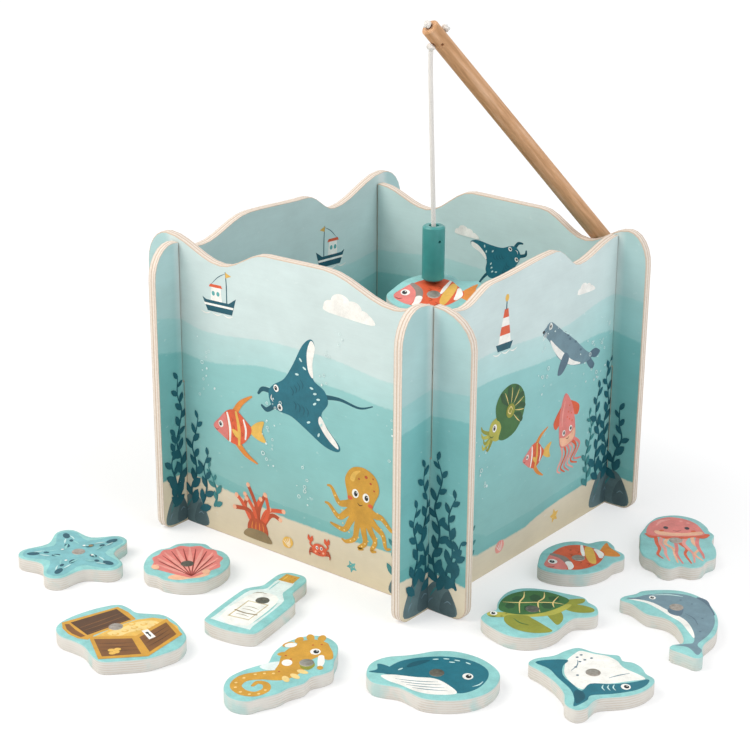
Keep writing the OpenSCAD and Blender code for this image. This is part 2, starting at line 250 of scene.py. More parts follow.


# sea ground printed on sanded birch ply and varnished satin: washes of gouache in wavy bands
# of sky, shallow and deep water and sand, with streaks of the grain just telling through, and
# painted shade over the water inside the tank and on the wings past its corners
def seaPrintMaterial():
    material, tree, shader, place = newMaterial("sea print on birch ply, satin varnish")
    x, y, z = addNode(tree, "ShaderNodeSeparateXYZ", {0: place}).outputs
    along = addNode(tree, "ShaderNodeMath", {0: x, 1: y}, operation="ADD")
    height = addNode(tree, "ShaderNodeMath", {0: z, 1: sea["squeeze"]}, operation="MULTIPLY")
    wallPlace = addNode(tree, "ShaderNodeCombineXYZ", {0: along, 2: height})
    # swells about 110 mm apart, up to 9 mm up and down, with a rough brushed edge
    swell = mottle(tree, wallPlace, 9.0, -0.009, 0.009, Detail=0.6, Roughness=0.4)
    ragged = mottle(tree, wallPlace, 400.0, -0.0004, 0.0004)
    level = addNode(tree, "ShaderNodeMath", {0: z, 1: swell}, operation="ADD")
    level = addNode(tree, "ShaderNodeMath", {0: level, 1: ragged}, operation="ADD")
    share = addNode(tree, "ShaderNodeMath", {0: level, 1: 1 / sea["reach"]},
                    operation="MULTIPLY")
    bands = addNode(tree, "ShaderNodeValToRGB", {0: share}, stops=sea["bands"])
    # washes 40 and 8 mm across, dry-brush streaks, and small pale scuffs of foam
    wash = mottle(tree, wallPlace, 26.0, 0.94, 1.05, Detail=4.0, Roughness=0.55)
    blot = mottle(tree, wallPlace, 120.0, 0.985, 1.015)
    brushed = addNode(tree, "ShaderNodeMapping", {"Vector": wallPlace, "Scale": sea["streaks"]})
    streak = mottle(tree, brushed, 1.0, 0.985, 1.012)
    foam = mottle(tree, wallPlace, 170.0, 0.0, 0.3, 0.66, 0.76, Detail=6.0)
    # painted shade: sky and water are darkened a little inside the tank, and more on the wings
    # past its corners, where shade falls
    away = addNode(tree, "ShaderNodeVectorMath", {0: place, 1: sea["toMiddle"]}, operation="ADD")
    away = addNode(tree, "ShaderNodeVectorMath", {0: away}, operation="ABSOLUTE")
    x, y, _ = addNode(tree, "ShaderNodeSeparateXYZ", {0: away}).outputs
    past = addNode(tree, "ShaderNodeMath", {0: x, 1: y}, operation="MAXIMUM")
    past = addNode(tree, "ShaderNodeMath", {0: past, 1: 1 / sea["reach"]}, operation="MULTIPLY")
    # painted shade: its tint at this distance out from the middle, kept off the sand below
    depth = addNode(tree, "ShaderNodeValToRGB", {0: past}, stops=sea["depths"])
    overSand = addNode(tree, "ShaderNodeMapRange", {"Value": share, 1: sea["sandTop"],
                                                    2: sea["seaFoot"]})
    paintedShadeTint = addNode(tree, "ShaderNodeMix", {0: overSand, 6: (1, 1, 1, 1), 7: depth},
                     data_type="RGBA").outputs[2]
    washes = shaded(tree, bands, wash, blot, streak, paintedShadeTint)
    colour = addNode(tree, "ShaderNodeMix", {0: foam, 6: washes, 7: toLinear(sea["foam"])},
                     data_type="RGBA").outputs[2]
    sheen = mottle(tree, wallPlace, 34.0, 0.46, 0.56)
    coat(tree, shader, colour, streak, 0.35, 0.2, sheen, 0.3)
    return material


# bare birch ply edge, sawn and sanded: cream, with the two thin darker plies and the glue
# lines at the faces just showing
def plyEdgeMaterial():
    material, tree, shader, place = newMaterial("sanded birch ply edge")
    ply = addNode(tree, "ShaderNodeAttribute", attribute_name="ply").outputs["Fac"]
    waver = mottle(tree, place, 60.0, -0.02, 0.02)
    shift = addNode(tree, "ShaderNodeMath", {0: waver, 1: ply}, operation="ADD")
    plies = addNode(tree, "ShaderNodeValToRGB", {0: shift}, stops=[
        (0.0, "#ccb8a4"), (0.07, "#d2c0ae"), (0.12, "#e3d9cd"), (0.33, "#e1d6ca"),
        (0.37, "#c5ae98"), (0.45, "#ccb7a3"), (0.50, "#e4dbd0"), (0.70, "#e2d7cb"),
        (0.74, "#c8b29d"), (0.80, "#cfbcaa"), (0.84, "#e3d9cd"), (0.94, "#e1d6ca"),
        (1.0, "#ccb8a4")])
    grain = mottle(tree, place, 900.0, 0.92, 1.05)
    coat(tree, shader, shaded(tree, plies, grain), grain, 0.3, 0.2, 0.75, 0.25)
    return material


# how far a sine turns from the foot to the top of a catch piece: six times round
pliesAcross = 38.0


# whitewashed ply side: thin white stain over the plies, with rubbed smudges of the print
def whitewashMaterial():
    material, tree, shader, place = newMaterial("whitewashed ply side")
    ply = addNode(tree, "ShaderNodeAttribute", attribute_name="ply").outputs["Fac"]
    waver = mottle(tree, place, 45.0, -0.03, 0.03)
    shift = addNode(tree, "ShaderNodeMath", {0: waver, 1: ply}, operation="ADD")
    turns = addNode(tree, "ShaderNodeMath", {0: shift, 1: pliesAcross}, operation="MULTIPLY")
    lines = addNode(tree, "ShaderNodeMath", {0: turns}, operation="SINE")
    patchy = mottle(tree, place, 90.0, 0.1, 1.0)
    amount = addNode(tree, "ShaderNodeMath", {0: lines, 1: patchy}, operation="MULTIPLY")
    stain = addNode(tree, "ShaderNodeMapRange", {"Value": amount, 1: 0.1, 2: 0.8,
                                                 3: 0.0, 4: 0.8})
    washed = addNode(tree, "ShaderNodeMix", {0: stain, 6: toLinear("#d8d5ce"),
                                             7: toLinear("#c9bcad")}, data_type="RGBA")
    rub = mottle(tree, place, 38.0, 0.0, 0.75, 0.54, 0.7, Distortion=0.6)
    # the print's varnish runs over the top corner
    corner = addNode(tree, "ShaderNodeMapRange", {"Value": ply, 1: 0.86, 2: 0.97,
                                                  3: 0.0, 4: 0.9})
    most = addNode(tree, "ShaderNodeMath", {0: rub, 1: corner}, operation="MAXIMUM")
    colour = addNode(tree, "ShaderNodeMix", {0: most, 6: washed.outputs[2],
                                             7: toLinear("#a9cfcc")}, data_type="RGBA")
    coat(tree, shader, colour.outputs[2], amount, 0.3, 0.2, 0.7, 0.25)
    return material


# printed ink under satin varnish, brushed a little unevenly: its colour is each shape's own,
# or one ground colour
def inkMaterial(name, ground=None):
    material, tree, shader, place = newMaterial(name)
    source = toLinear(ground)[:3] if ground else \
        addNode(tree, "ShaderNodeAttribute", attribute_name="ink").outputs["Color"]
    wash = mottle(tree, place, 130.0, 0.86, 1.12, Detail=5.0, Roughness=0.65)
    grit = mottle(tree, place, 1500.0, 0.95, 1.04, Detail=2.0)
    coat(tree, shader, shaded(tree, source, wash, grit), wash, 0.15, 0.2, 0.48, 0.32)
    return material


# the rod's axis, from the middle of its butt to the middle of its tip
rodAxis = dict(butt=(81.815, 216.302, 176.929), tip=(40.59, 72.571, 332.951),
               holeReach=206.104)


# steamed beech, turned and oiled: warm tan with fine long flecks and slow darker figure
def beechMaterial():
    material, tree, shader, place = newMaterial("oiled beech dowel")
    line = (Vector(rodAxis["tip"]) - Vector(rodAxis["butt"])).normalized()
    turn = line.rotation_difference(Vector((0, 0, 1))).to_euler()
    local = addNode(tree, "ShaderNodeMapping", {"Vector": place, "Rotation": tuple(turn)})
    marks = []
    for scale, detail in (((2200.0, 2200.0, 160.0), 3.0), ((380.0, 380.0, 26.0), 4.0)):
        long = addNode(tree, "ShaderNodeMapping", {"Vector": local, "Scale": scale})
        marks.append(mottle(tree, long, 1.0, 0.0, 1.0, Detail=detail, Distortion=0.3))
    fleck, figure = marks
    tone = addNode(tree, "ShaderNodeValToRGB", {0: figure},
                   stops=[(0.0, "#b98a5e"), (0.5, "#cd9d72"), (1.0, "#ddb28d")])
    speck = addNode(tree, "ShaderNodeMapRange", {"Value": fleck, 3: 0.84, 4: 1.06})
    coat(tree, shader, shaded(tree, tone, speck), fleck, 0.25, 0.2, 0.55, 0.35)
    return material


# satin water-based paint sprayed on turned wood: even teal with a faint orange-peel
def lurePaintMaterial():
    material, tree, shader, place = newMaterial("satin paint on turned wood")
    drift = mottle(tree, place, 120.0, 0.9, 1.1)
    peel = mottle(tree, place, 1800.0, 0.0, 1.0)
    coat(tree, shader, shaded(tree, toLinear("#3d908d")[:3], drift), peel, 0.15, 0.1, 0.36, 0.5)
    return material


# punched mild steel, tumbled: grey-brown and satin, with scuffs and faint tarnish
def steelMaterial(name, pale, dark, roughness):
    material, tree, shader, place = newMaterial(name)
    tone = mottle(tree, place, 420.0, 0.0, 1.0, Roughness=0.7)
    colour = addNode(tree, "ShaderNodeValToRGB", {0: tone}, stops=[(0.0, dark), (1.0, pale)])
    gloss = mottle(tree, place, 2600.0, roughness - 0.08, roughness + 0.12)
    coat(tree, shader, colour, gloss, 0.3, 0.1, gloss, 0.5)
    feed(tree, shader, {"Metallic": 0.85})
    return material


seaPrint = seaPrintMaterial()
plyEdge = plyEdgeMaterial()
whitewash = whitewashMaterial()
printInk = inkMaterial("printed ink under satin varnish")
aquaGround = inkMaterial("aqua ground print under satin varnish", "#8fc8c6")
weedInk = inkMaterial("teal weed ink under satin varnish", "#1f5d69")
paleWeedInk = inkMaterial("pale weed ink under satin varnish", "#3f8385")
foamInk = inkMaterial("white foam ink under satin varnish", "#dcebea")
beech = beechMaterial()
lurePaint = lurePaintMaterial()
steel = steelMaterial("tumbled mild steel", "#b9b2aa", "#948a80", 0.5)
wornSteel = steelMaterial("dull worn mild steel", "#857f74", "#5e5c54", 0.55)
magnetPlate = steelMaterial("dull nickel plate", "#8f9193", "#6d6f72", 0.4)
print("finishes mixed")


# roundings in mm; edges under flat degrees stay as they are, and points as near as weld and
# faces as level as straight are taken as one
rounding = dict(wall=0.8, catch=0.9, rod=0.3, lure=0.3, disc=0.35, segments=3, flat=30,
                weld=0.003, straight=0.4)


# a copy of a CAD node with its sharp edges rounded where keep(middle of the edge) allows it
def roundedCopy(name, node, width, keep=None):
    mesh = bpy.data.meshes.new(name + "Rough")
    bm = bmesh.new()
    bm.from_mesh(nodes[node].data)
    bmesh.ops.remove_doubles(bm, verts=bm.verts, dist=rounding["weld"] * mm)
    bmesh.ops.dissolve_limit(bm, angle_limit=math.radians(rounding["straight"]),
                             verts=bm.verts, edges=bm.edges)
    for face in bm.faces:
        face.smooth = True
    weights = bm.edges.layers.float.new("bevel_weight_edge")
    for edge in bm.edges:
        if len(edge.link_faces) == 2 and edge.calc_face_angle() > math.radians(rounding["flat"]):
            middle = (edge.verts[0].co + edge.verts[1].co) / 2
            edge[weights] = 1 if keep is None or keep(middle) else 0
            edge.smooth = edge[weights] > 0
    bm.to_mesh(mesh)
    bm.free()
    rough = newObject(name + "Rough", mesh)
    bevel = rough.modifiers.new("edges", "BEVEL")
    bevel.width = width * mm
    bevel.segments = rounding["segments"]
    bevel.limit_method = "WEIGHT"
    bevel.use_clamp_overlap = True
    bevel.harden_normals = True
    done = bpy.data.meshes.new_from_object(rough.evaluated_get(
        bpy.context.evaluated_depsgraph_get()))
    bpy.data.objects.remove(rough)
    done.name = name
    return newObject(name, done)


# gives faces a finish by a rule, and each vertex its depth in the ply from 0 to 1
def dressPly(piece, finishes, pick, depth):
    mesh = piece.data
    mesh.materials.clear()
    for finish in finishes:
        mesh.materials.append(finish)
    for face in mesh.polygons:
        face.material_index = pick(face)
    ply = mesh.attributes.new("ply", "FLOAT", "POINT")
    ply.data.foreach_set("value", [depth(v.co / mm) for v in mesh.vertices])


# which axis each wall's thickness lies along, and where its middle is on that axis; a face
# whose normal is this much along it is printed
walls = dict(ply=6, printed=0.97,
             across=dict(front_wall=(1, 0), right_wall=(0, 100), back_wall=(1, 200),
                         left_wall=(0, -100)))
for node, (axis, middle) in walls["across"].items():
    wallPiece = roundedCopy(node.replace("_w", "W") + "Panel", node, rounding["wall"])
    dressPly(wallPiece, (seaPrint, plyEdge),
             lambda face, axis=axis: 0 if abs(face.normal[axis]) > walls["printed"] else 1,
             lambda co, axis=axis, middle=middle: (co[axis] - middle) / walls["ply"] + 0.5)
    fit(wallPiece, "printed_wall_ply", node)
print("walls rounded")


# catch pieces: x, y and turn on the floor, as in the part's source. The edge of a disc's seat
# lies within keepOut disc diameters and stays sharp, faces that look this much up are printed,
# and a disc's points within its cap of the top stand proud of the print
catch = dict(thick=9, disc=8.5, keepOut=0.7, printed=0.5, cap=1, proud=0.2, tilt=16, swing=-9,
             hungTurn=39, hung=(52.181, 65.897, 171.515),
             worn=("shell", "bottle", "whale", "turtle"),
             laid=dict(starfish=(-104, -94, 59), shell=(-39, -63, 39), chest=(-14, -148, 39),
                       bottle=(30, -70, 10), seahorse=(99, -110, 39), whale=(162, -73, 39),
                       shark=(229, -18, 39), turtle=(161, 23, 39), fish=(145, 98, 54),
                       jellyfish=(180, 159, 39), dolphin=(226, 79, 39)))
frames = {"caught_fish": Matrix.Translation(catch["hung"])
          @ Matrix.Rotation(math.radians(catch["hungTurn"]), 4, "Z")
          @ Matrix.Rotation(math.radians(catch["tilt"]), 4, "X")
          @ Matrix.Rotation(math.radians(catch["swing"]), 4, "Z")}
for node, (x, y, turn) in catch["laid"].items():
    frames[node] = Matrix.Translation((x, y, catch["thick"])) \
        @ Matrix.Rotation(math.radians(turn), 4, "Z")

for node, local in frames.items():
    inside = local.inverted()
    up = local.to_3x3() @ Vector((0, 0, 1))
    body = roundedCopy(node + "Body", node, rounding["catch"],
                       lambda co: (inside @ (co / mm)).xy.length
                       > catch["disc"] * catch["keepOut"])
    dressPly(body, (aquaGround, whitewash),
             lambda face: 0 if face.normal.dot(up) > catch["printed"] else 1,
             lambda co: (inside @ co).z / catch["thick"] + 1)
    fit(body, "printed_catch_ply", node)
    disc = roundedCopy(node + "Steel", node + "_disc", rounding["disc"])
    for v in disc.data.vertices:
        if (inside @ (v.co / mm)).z > -catch["cap"]:
            v.co += up * catch["proud"] * mm
    disc.data.materials.clear()
    disc.data.materials.append(wornSteel if node in catch["worn"] else steel)
    fit(disc, "steel_disc", node + "_disc")
print("catch pieces rounded")

for name, node, width, finish, slotName in (
        ("beechRod", "rod", rounding["rod"], beech, "beech_rod"),
        ("turnedLure", "lure", rounding["lure"], lurePaint, "painted_lure")):
    turned = roundedCopy(name, node, width)
    turned.data.materials.clear()
    turned.data.materials.append(finish)
    fit(turned, slotName, node)
for node, finish in (("lure_magnet", magnetPlate), ("lure_knot", cotton)):
    nodes[node].data.materials.clear()
    nodes[node].data.materials.append(finish)

# the knots in the string's tail: a trefoil drawn tight, below, above and on the rod's end
knots = dict(ring=1.05, lobe=0.75, strand=1.1, sides=16, steps=72, fromAxis=7.575,
             pastEnd=2.075)
rodLine = (Vector(rodAxis["tip"]) - Vector(rodAxis["butt"])).normalized()
downLine = (Vector((0, 0, -1)) + rodLine * rodLine.z).normalized()
knotPieces = []
crossing = Vector(rodAxis["butt"]) + rodLine * rodAxis["holeReach"]
for number, (centre, axis) in enumerate((
        (crossing + downLine * knots["fromAxis"], downLine),
        (crossing - downLine * knots["fromAxis"], downLine),
        (Vector(rodAxis["tip"]) + rodLine * knots["pastEnd"], rodLine))):
    spin = axis.to_track_quat("Z", "Y")
    loop = []
    for i in range(knots["steps"]):
        t = 2 * math.pi * i / knots["steps"]
        r = knots["ring"] + knots["lobe"] * math.cos(3 * t)
        loop.append(centre + spin @ Vector((r * math.cos(2 * t), r * math.sin(2 * t),
                                            knots["lobe"] * math.sin(3 * t))))
    knotPieces.append(laidCord("tipKnot%d" % number, loop, knots["strand"], True,
                               knots["sides"]))
with bpy.context.temp_override(active_object=knotPieces[0],
                               selected_editable_objects=knotPieces):
    bpy.ops.object.join()
tipKnots = knotPieces[0]
tipKnots.name = "tipKnots"
fit(tipKnots, "cotton_string", "tip_knots")
print("rod, lure and knots made")


# the floor's own white shows from near to far, and the lamps turn round their aim
studio = dict(floor=6, lift=0.4, white=1.06, near=0.15, far=0.45, world=0.53,
              aim=(0.05, 0.05, 0.1),
              lamps=(dict(name="keyLamp", azimuth=-38, elevation=48, away=2.4, size=1.6,
                          power=43, colour="#fffaf4"),
                     dict(name="fillLamp", azimuth=95, elevation=38, away=2.2, size=1.8,
                          power=20, colour="#f8faff")))


# matt white studio sweep: soft shadows show on it near the game, and it goes white far off
def floorMaterial():
    material, tree, shader, place = newMaterial("matt white studio sweep")
    shade = mottle(tree, place, 700.0, 0.91, 0.93)
    feed(tree, shader, {"Base Color": shade, "Roughness": 0.9, "Specular IOR Level": 0.1})
    rays = addNode(tree, "ShaderNodeLightPath").outputs
    away = addNode(tree, "ShaderNodeVectorMath", {0: place}, operation="LENGTH")
    lift = addNode(tree, "ShaderNodeMapRange", {
        "Value": away.outputs["Value"], 1: studio["near"], 2: studio["far"], 3: studio["lift"],
        4: 1.0}, interpolation_type="SMOOTHSTEP")
    seen = addNode(tree, "ShaderNodeMath", {0: rays["Is Camera Ray"], 1: lift},
                   operation="MULTIPLY")
    white = addNode(tree, "ShaderNodeEmission", {"Color": (1, 1, 1, 1),
                                                 "Strength": studio["white"]})
    mixed = addNode(tree, "ShaderNodeMixShader", {0: seen, 1: shader, 2: white})
    feed(tree, tree.nodes["Material Output"], {"Surface": mixed})
    return material


floorMesh = bpy.data.meshes.new("studioFloor")
half = studio["floor"] / 2
floorMesh.from_pydata([(-half, -half, 0), (half, -half, 0), (half, half, 0), (-half, half, 0)],
                      [], [(0, 1, 2, 3)])
floorMesh.materials.append(floorMaterial())
newObject("studioFloor", floorMesh)


# the room is white to the camera, to glass and to metal, and lights the scene more softly
def lightRoom():
    world = bpy.data.worlds.new("studioRoom")
    bpy.context.scene.world = world
    world.use_nodes = True
    tree = world.node_tree
    rays = addNode(tree, "ShaderNodeLightPath").outputs
    seen = rays["Is Camera Ray"]
    for ray in ("Is Glossy Ray", "Is Transmission Ray"):
        seen = addNode(tree, "ShaderNodeMath", {0: seen, 1: rays[ray]}, operation="MAXIMUM")
    strength = addNode(tree, "ShaderNodeMapRange", {"Value": seen, 3: studio["world"], 4: 1.0})
    feed(tree, tree.nodes["Background"], {"Color": (1, 1, 1, 1), "Strength": strength})


lightRoom()
for lamp in studio["lamps"]:
    az, el = math.radians(lamp["azimuth"]), math.radians(lamp["elevation"])
    toward = Vector((math.sin(az) * math.cos(el), -math.cos(az) * math.cos(el), math.sin(el)))
    light = bpy.data.lights.new(lamp["name"], "AREA")
    light.size = lamp["size"]
    light.energy = lamp["power"]
    light.color = toLinear(lamp["colour"])[:3]
    newObject(lamp["name"], light).matrix_world = \
        Matrix.Translation(Vector(studio["aim"]) + toward * lamp["away"]) \
        @ toward.to_track_quat("Z", "Y").to_matrix().to_4x4()
bpy.context.scene.view_settings.view_transform = "Standard"
print("studio lit")


inks = dict(teal="#246b7b", deepTeal="#1c5362", white="#f0eee8", black="#26282c",
            ochre="#cc983a", gold="#e2b557", paleGold="#eed08a", coral="#d95f3c",
            rust="#b5502f", orange="#dd8a3c", pink="#df8079", rose="#ea9d92", peach="#efb796",
            darkRed="#8f3b33", weed="#1f5d69", paleWeed="#3f8385", rock="#5c7478",
            darkRock="#4b6166", green="#3f6b3a", darkGreen="#2f5130", olive="#8f9138",
            lime="#b3ae4e", slate="#6f8b97", darkSlate="#577080", brown="#7a5029",
            darkBrown="#52361e", umber="#8c7a58", aqua="#8fc8c6", paleAqua="#c3e2e0",
            mist="#79b5bb", deepAqua="#5fa9a8", grey="#8d8078", sand="#c7b68f",
            glass="#dfe9e6")

# how far in mm the prints stand off their face: the first shape of a picture, each shape
# over it, the first leaf or bubble, and each of the copies that follow it; a face of less
# than a sliver of mm2 is left out
layers = dict(first=0.02, gap=0.004, copies=0.3, repeat=0.004, repeats=23, sliver=0.0001)


# a filled outline through points, smooth unless steps is 1
def blob(colour, points, steps=5):
    ring = smoothLine(points, steps, True) if steps > 1 else points
    return [(colour, ring, tessellate([[Vector((x, y, 0)) for x, y in ring]]))]


def ringOf(x, y, rx, ry, turn=0, count=22):
    c, s = math.cos(math.radians(turn)), math.sin(math.radians(turn))
    ring = []
    for k in range(count):
        a = 2 * math.pi * k / count
        u, v = rx * math.cos(a), ry * math.sin(a)
        ring.append((x + u * c - v * s, y + u * s + v * c))
    return ring


def oval(colour, *shape):
    return blob(colour, ringOf(*shape), 1)


# a brush stroke through (x, y, width) points, with round ends
def stroke(colour, points, steps=6):
    line = smoothLine(points, steps)
    left, right = [], []
    for i, (x, y, w) in enumerate(line):
        ax, ay, _ = line[max(i - 1, 0)]
        bx, by, _ = line[min(i + 1, len(line) - 1)]
        size = math.hypot(bx - ax, by - ay) or 1
        nx, ny = -(by - ay) / size, (bx - ax) / size
        left.append((x + nx * w / 2, y + ny * w / 2))
        right.append((x - nx * w / 2, y - ny * w / 2))
    n = len(line)
    quads = [(i, n + i, n + i + 1, i + 1) for i in range(n - 1)]
    ends = [oval(colour, x, y, w / 2, w / 2, 0, 12)[0] for x, y, w in (line[0], line[-1])]
    return [(colour, left + right, quads)] + ends


# a stroke of one width that thins towards both ends
def dash(colour, width, *points):
    last = len(points) - 1
    return stroke(colour, [(x, y, width * (0.35 if i in (0, last) else 1))
                           for i, (x, y) in enumerate(points)])


# moves, turns, grows and flips a drawing
def moved(drawing, dx=0, dy=0, size=1, turn=0, flip=False):
    c, s = math.cos(math.radians(turn)) * size, math.sin(math.radians(turn)) * size
    out = []
    for colour, ring, faces in drawing:
        ring = [(-x if flip else x, y) for x, y in ring]
        out.append((colour, [(x * c - y * s + dx, x * s + y * c + dy) for x, y in ring], faces))
    return out


def eye(x, y, r, look=0.15):
    return oval("white", x, y, r, r * 1.15) + oval("black", x + r * look, y, r * 0.55, r * 0.7) \
        + oval("white", x + r * (look + 0.15), y + r * 0.3, r * 0.16, r * 0.16, 0, 8)


# ovals of one size, at x and y and turned
def flecks(colour, rx, ry, places, count=10):
    return sum((oval(colour, x, y, rx, ry, turn, count) for x, y, turn in places), [])


def dots(colour, places, r):
    return flecks(colour, r, r * 0.85, [(x, y, 20) for x, y in places])


# the walls' animals and things, in mm, facing right

def mantaRay():
    d = stroke("deepTeal", [(-14, 2, 4), (-30, 0, 2.4), (-46, -6, 1.6), (-58, -5, 0.8)])
    d += stroke("deepTeal", [(31, 6, 4), (39, 8, 3.4), (44, 5, 2)])
    d += stroke("deepTeal", [(31, -4, 4), (39, -7, 3.4), (43, -4, 2)])
    d += blob("teal", [
        (34, 6), (28, 11), (17, 15), (6, 25), (-6, 38), (-15, 42), (-17, 36), (-12, 25), (-10, 14),
        (-18, 6), (-19, -3), (-11, -11), (-15, -22), (-22, -33), (-19, -37), (-8, -33), (6, -21),
        (17, -12), (28, -8), (34, -3)])
    d += blob("white", [(-15, 41), (-17, 36), (-12, 25), (-10, 15), (-7, 20), (-8, 30), (-11, 37)])
    d += blob("white", [
        (-20, -35), (-20, -31), (-14, -21), (-10, -12), (-7, -16), (-10, -24), (-15, -31)])
    for k in range(4):
        for way in (1, -1):
            d += dash("deepTeal", 0.8, (2 + 3.4 * k, way * (13 - 1.6 * k) + 1),
                      (0.4 + 3.4 * k, way * (9.5 - 1.6 * k) + 1),
                      (2 + 3.4 * k, way * (6.4 - 1.4 * k) + 1))
    d += flecks("paleAqua", 1.7, 0.8, [
        (-4, 22, 40), (4, 18, 10), (-2, 28, 60), (-9, -18, -40), (2, -16, -10), (-9, 4, 0),
        (-11, 0, 0), (-5, -25, -50), (-7, 8, 20), (-7, -3, -20)])
    return d + eye(26, 8.4, 2.3) + eye(26, -5.4, 2.3) + dash("white", 0.8, (31.4, -1), (32.6, 1.4),
                                                             (31.4, 3.8))


def octopus():
    d = []
    for foot, knee, tip in (((-9, 6), (-22, 2), (-30, 12)), ((-7, 2), (-21, -11), (-31, -4)),
                            ((-4, 0), (-14, -20), (-24, -20)), ((0, -1), (-3, -24), (-11, -30)),
                            ((3, -1), (8, -24), (2, -31)), ((6, 0), (18, -19), (15, -28)),
                            ((8, 2), (25, -10), (29, -20)), ((9, 6), (23, 4), (33, -3))):
        mid = ((foot[0] + knee[0]) / 2, (foot[1] + knee[1]) / 2 - 1)
        curl = (tip[0] + 4.4 * (1 if tip[0] > 0 else -1), tip[1] + 0.6)
        d += stroke("ochre", [(*foot, 7), (*mid, 6), (*knee, 4.8), (*tip, 3.2), (*curl, 1.8)])
        d += dots("paleGold", [(knee[0] + (tip[0] - knee[0]) * u, knee[1]
                                + (tip[1] - knee[1]) * u - 0.6) for u in (-0.5, 0, 0.5)], 0.8)
    d += blob("ochre", [
        (-11, 4), (-14, 14), (-17, 26), (-11, 37), (1, 41), (13, 37), (18, 26), (14, 14), (11, 4),
        (5, -1), (-5, -1)])
    d += blob("gold", [(-12, 27), (-9, 34), (-2, 37.5), (-6, 32), (-8, 26)])
    for x, y, r in ((4, 34, 1.7), (9, 30, 1.2), (11, 35, 0.9), (-3, 30, 1), (13, 25, 1)):
        d += oval("rust", x, y, r, r * 0.8)
    d += oval("coral", -10.5, 10.5, 2.6, 1.7) + oval("coral", 10.5, 10.5, 2.6, 1.7)
    return d + eye(-5.5, 16, 3.4) + eye(5.5, 16, 3.4) + dash("darkBrown", 0.9, (-2.6, 8.6),
                                                             (0, 7.2), (2.6, 8.6))


def angelFish():
    d = stroke("orange", [(-2, 8, 6), (8, 20, 4.4), (20, 27, 1.4)])
    d += stroke("orange", [(-2, -8, 6), (8, -19, 4.4), (19, -25, 1.4)])
    d += blob("gold", [(14, 1), (22, 7), (30, 9), (27, 1), (30, -7), (22, -6), (14, -1)])
    d += blob("coral", [
        (-22, -1), (-15, 6), (-6, 13), (3, 14), (11, 8), (17, 1), (11, -8), (3, -13), (-6, -12),
        (-15, -7)])
    d += blob("pink", [
        (-22, -1), (-15, 6), (-9, 10.5), (-7.5, 4), (-7.5, -4), (-9, -10), (-15, -7)])
    for x, h, colour, wide in ((-6.5, 11, "white", 2.4), (2.6, 12.6, "gold", 3),
                               (9.6, 7.4, "white", 2)):
        d += stroke(colour, [(x, h, wide * 0.7), (x + 1.4, 0, wide), (x, -h, wide * 0.7)])
    for x, y in ((-2, 6), (-1, 0), (-2, -6), (7, 4), (7, -4)):
        d += dash("rust", 0.8, (x - 0.8, y + 1.7), (x + 0.8, y), (x - 0.8, y - 1.7))
    d += blob("gold", [(-3, -1), (3, -3), (4, -8), (-1, -6)])
    return d + eye(-14, 1.4, 2.4, -0.15) + dash("darkRed", 0.7, (-20.6, -2.6), (-18.6, -3.6),
                                                (-17, -3))


# a sea anemone on its stone
def anemone():
    d = []
    for k in range(11):
        a = math.radians(28 + 12.4 * k)
        reach = 30 + 5 * math.sin(2.3 * k)
        bend = 4 * math.sin(1.7 * k)
        d += stroke("coral" if k % 2 else "rust", [
            (3 * math.cos(a), 6, 4.4), (reach * 0.5 * math.cos(a) - bend, 6 + reach * 0.5, 3.4),
            (reach * 0.85 * math.cos(a) + bend, 6 + reach * math.sin(a), 3.2)])
        d += oval("peach", reach * 0.85 * math.cos(a) + bend, 6 + reach * math.sin(a), 1.9, 1.9)
    d += blob("rust", [(-10, 3), (-8, 12), (0, 14.5), (8, 12), (10, 3), (0, 0)])
    for x in (-5.4, -1.8, 1.8, 5.4):
        d += dash("orange", 0.9, (x, 3), (x * 1.1, 7), (x * 0.9, 11.6))
    return d + blob("umber", [(-14, -2), (-10, 4), (0, 5.6), (9, 4.4), (14, -2), (0, -3)])


def fishingBoat():
    d = blob("deepTeal", [(-17, 2), (-13, 0), (11, 0), (19, 5), (14, -9), (-12, -9)], 1)
    d += blob("white", [(-15.6, -2.6), (15.9, -2.6), (15.2, -4.4), (-14.8, -4.4)], 1)
    d += blob("white", [(-8, 0), (4, 0), (3, 11), (-7, 11)], 1)
    d += blob("coral", [(-9.4, 11), (5, 11), (3.6, 13.4), (-8, 13.4)], 1)
    for x in (-5.6, -0.6):
        d += oval("deepAqua", x + 0.6, 6, 1.7, 1.9)
    d += stroke("deepTeal", [(9, 0, 1.1), (9.4, 14, 1), (9, 25, 0.8)])
    d += dash("deepTeal", 0.6, (9, 24), (1, 20), (-7, 13))
    d += blob("gold", [(9, 25), (15, 22.6), (9, 20.4)], 1)
    for x in (-14, -2, 10):
        d += dash("white", 1, (x - 5, -10), (x, -11.4), (x + 5, -10))
    return d


def puffCloud():
    d = []
    for x, y, r in ((-13, 0, 6), (-5, 4, 8), (5, 2, 7), (13, -1, 5)):
        d += oval("white", x, y, r, r * 0.72)
    return d + blob("white", [(-19, -3), (0, -5), (22, -5), (14, 2), (-12, 3)])


# a striped buoy riding on the swell
def buoy():
    d = blob("deepTeal", [(-10, -2), (10, -2), (7.4, -7), (-7.4, -7)], 1)
    bands = ((0, "white"), (6, "coral"), (12, "white"), (18, "coral"))
    for y, colour in bands:
        d += blob(colour, [(-7.4 + 0.22 * y, y - 2), (7.4 - 0.22 * y, y - 2),
                           (6.08 - 0.22 * y, y + 4), (-6.08 + 0.22 * y, y + 4)], 1)
    d += stroke("deepTeal", [(0, 22, 1.2), (0, 26, 1.2), (0, 28, 1.2)])
    d += oval("gold", 0, 29.6, 2.2, 2.6)
    for x in (-8, 2, 11):
        d += dash("white", 1, (x - 4.6, -8), (x, -9.4), (x + 4.6, -8))
    return d


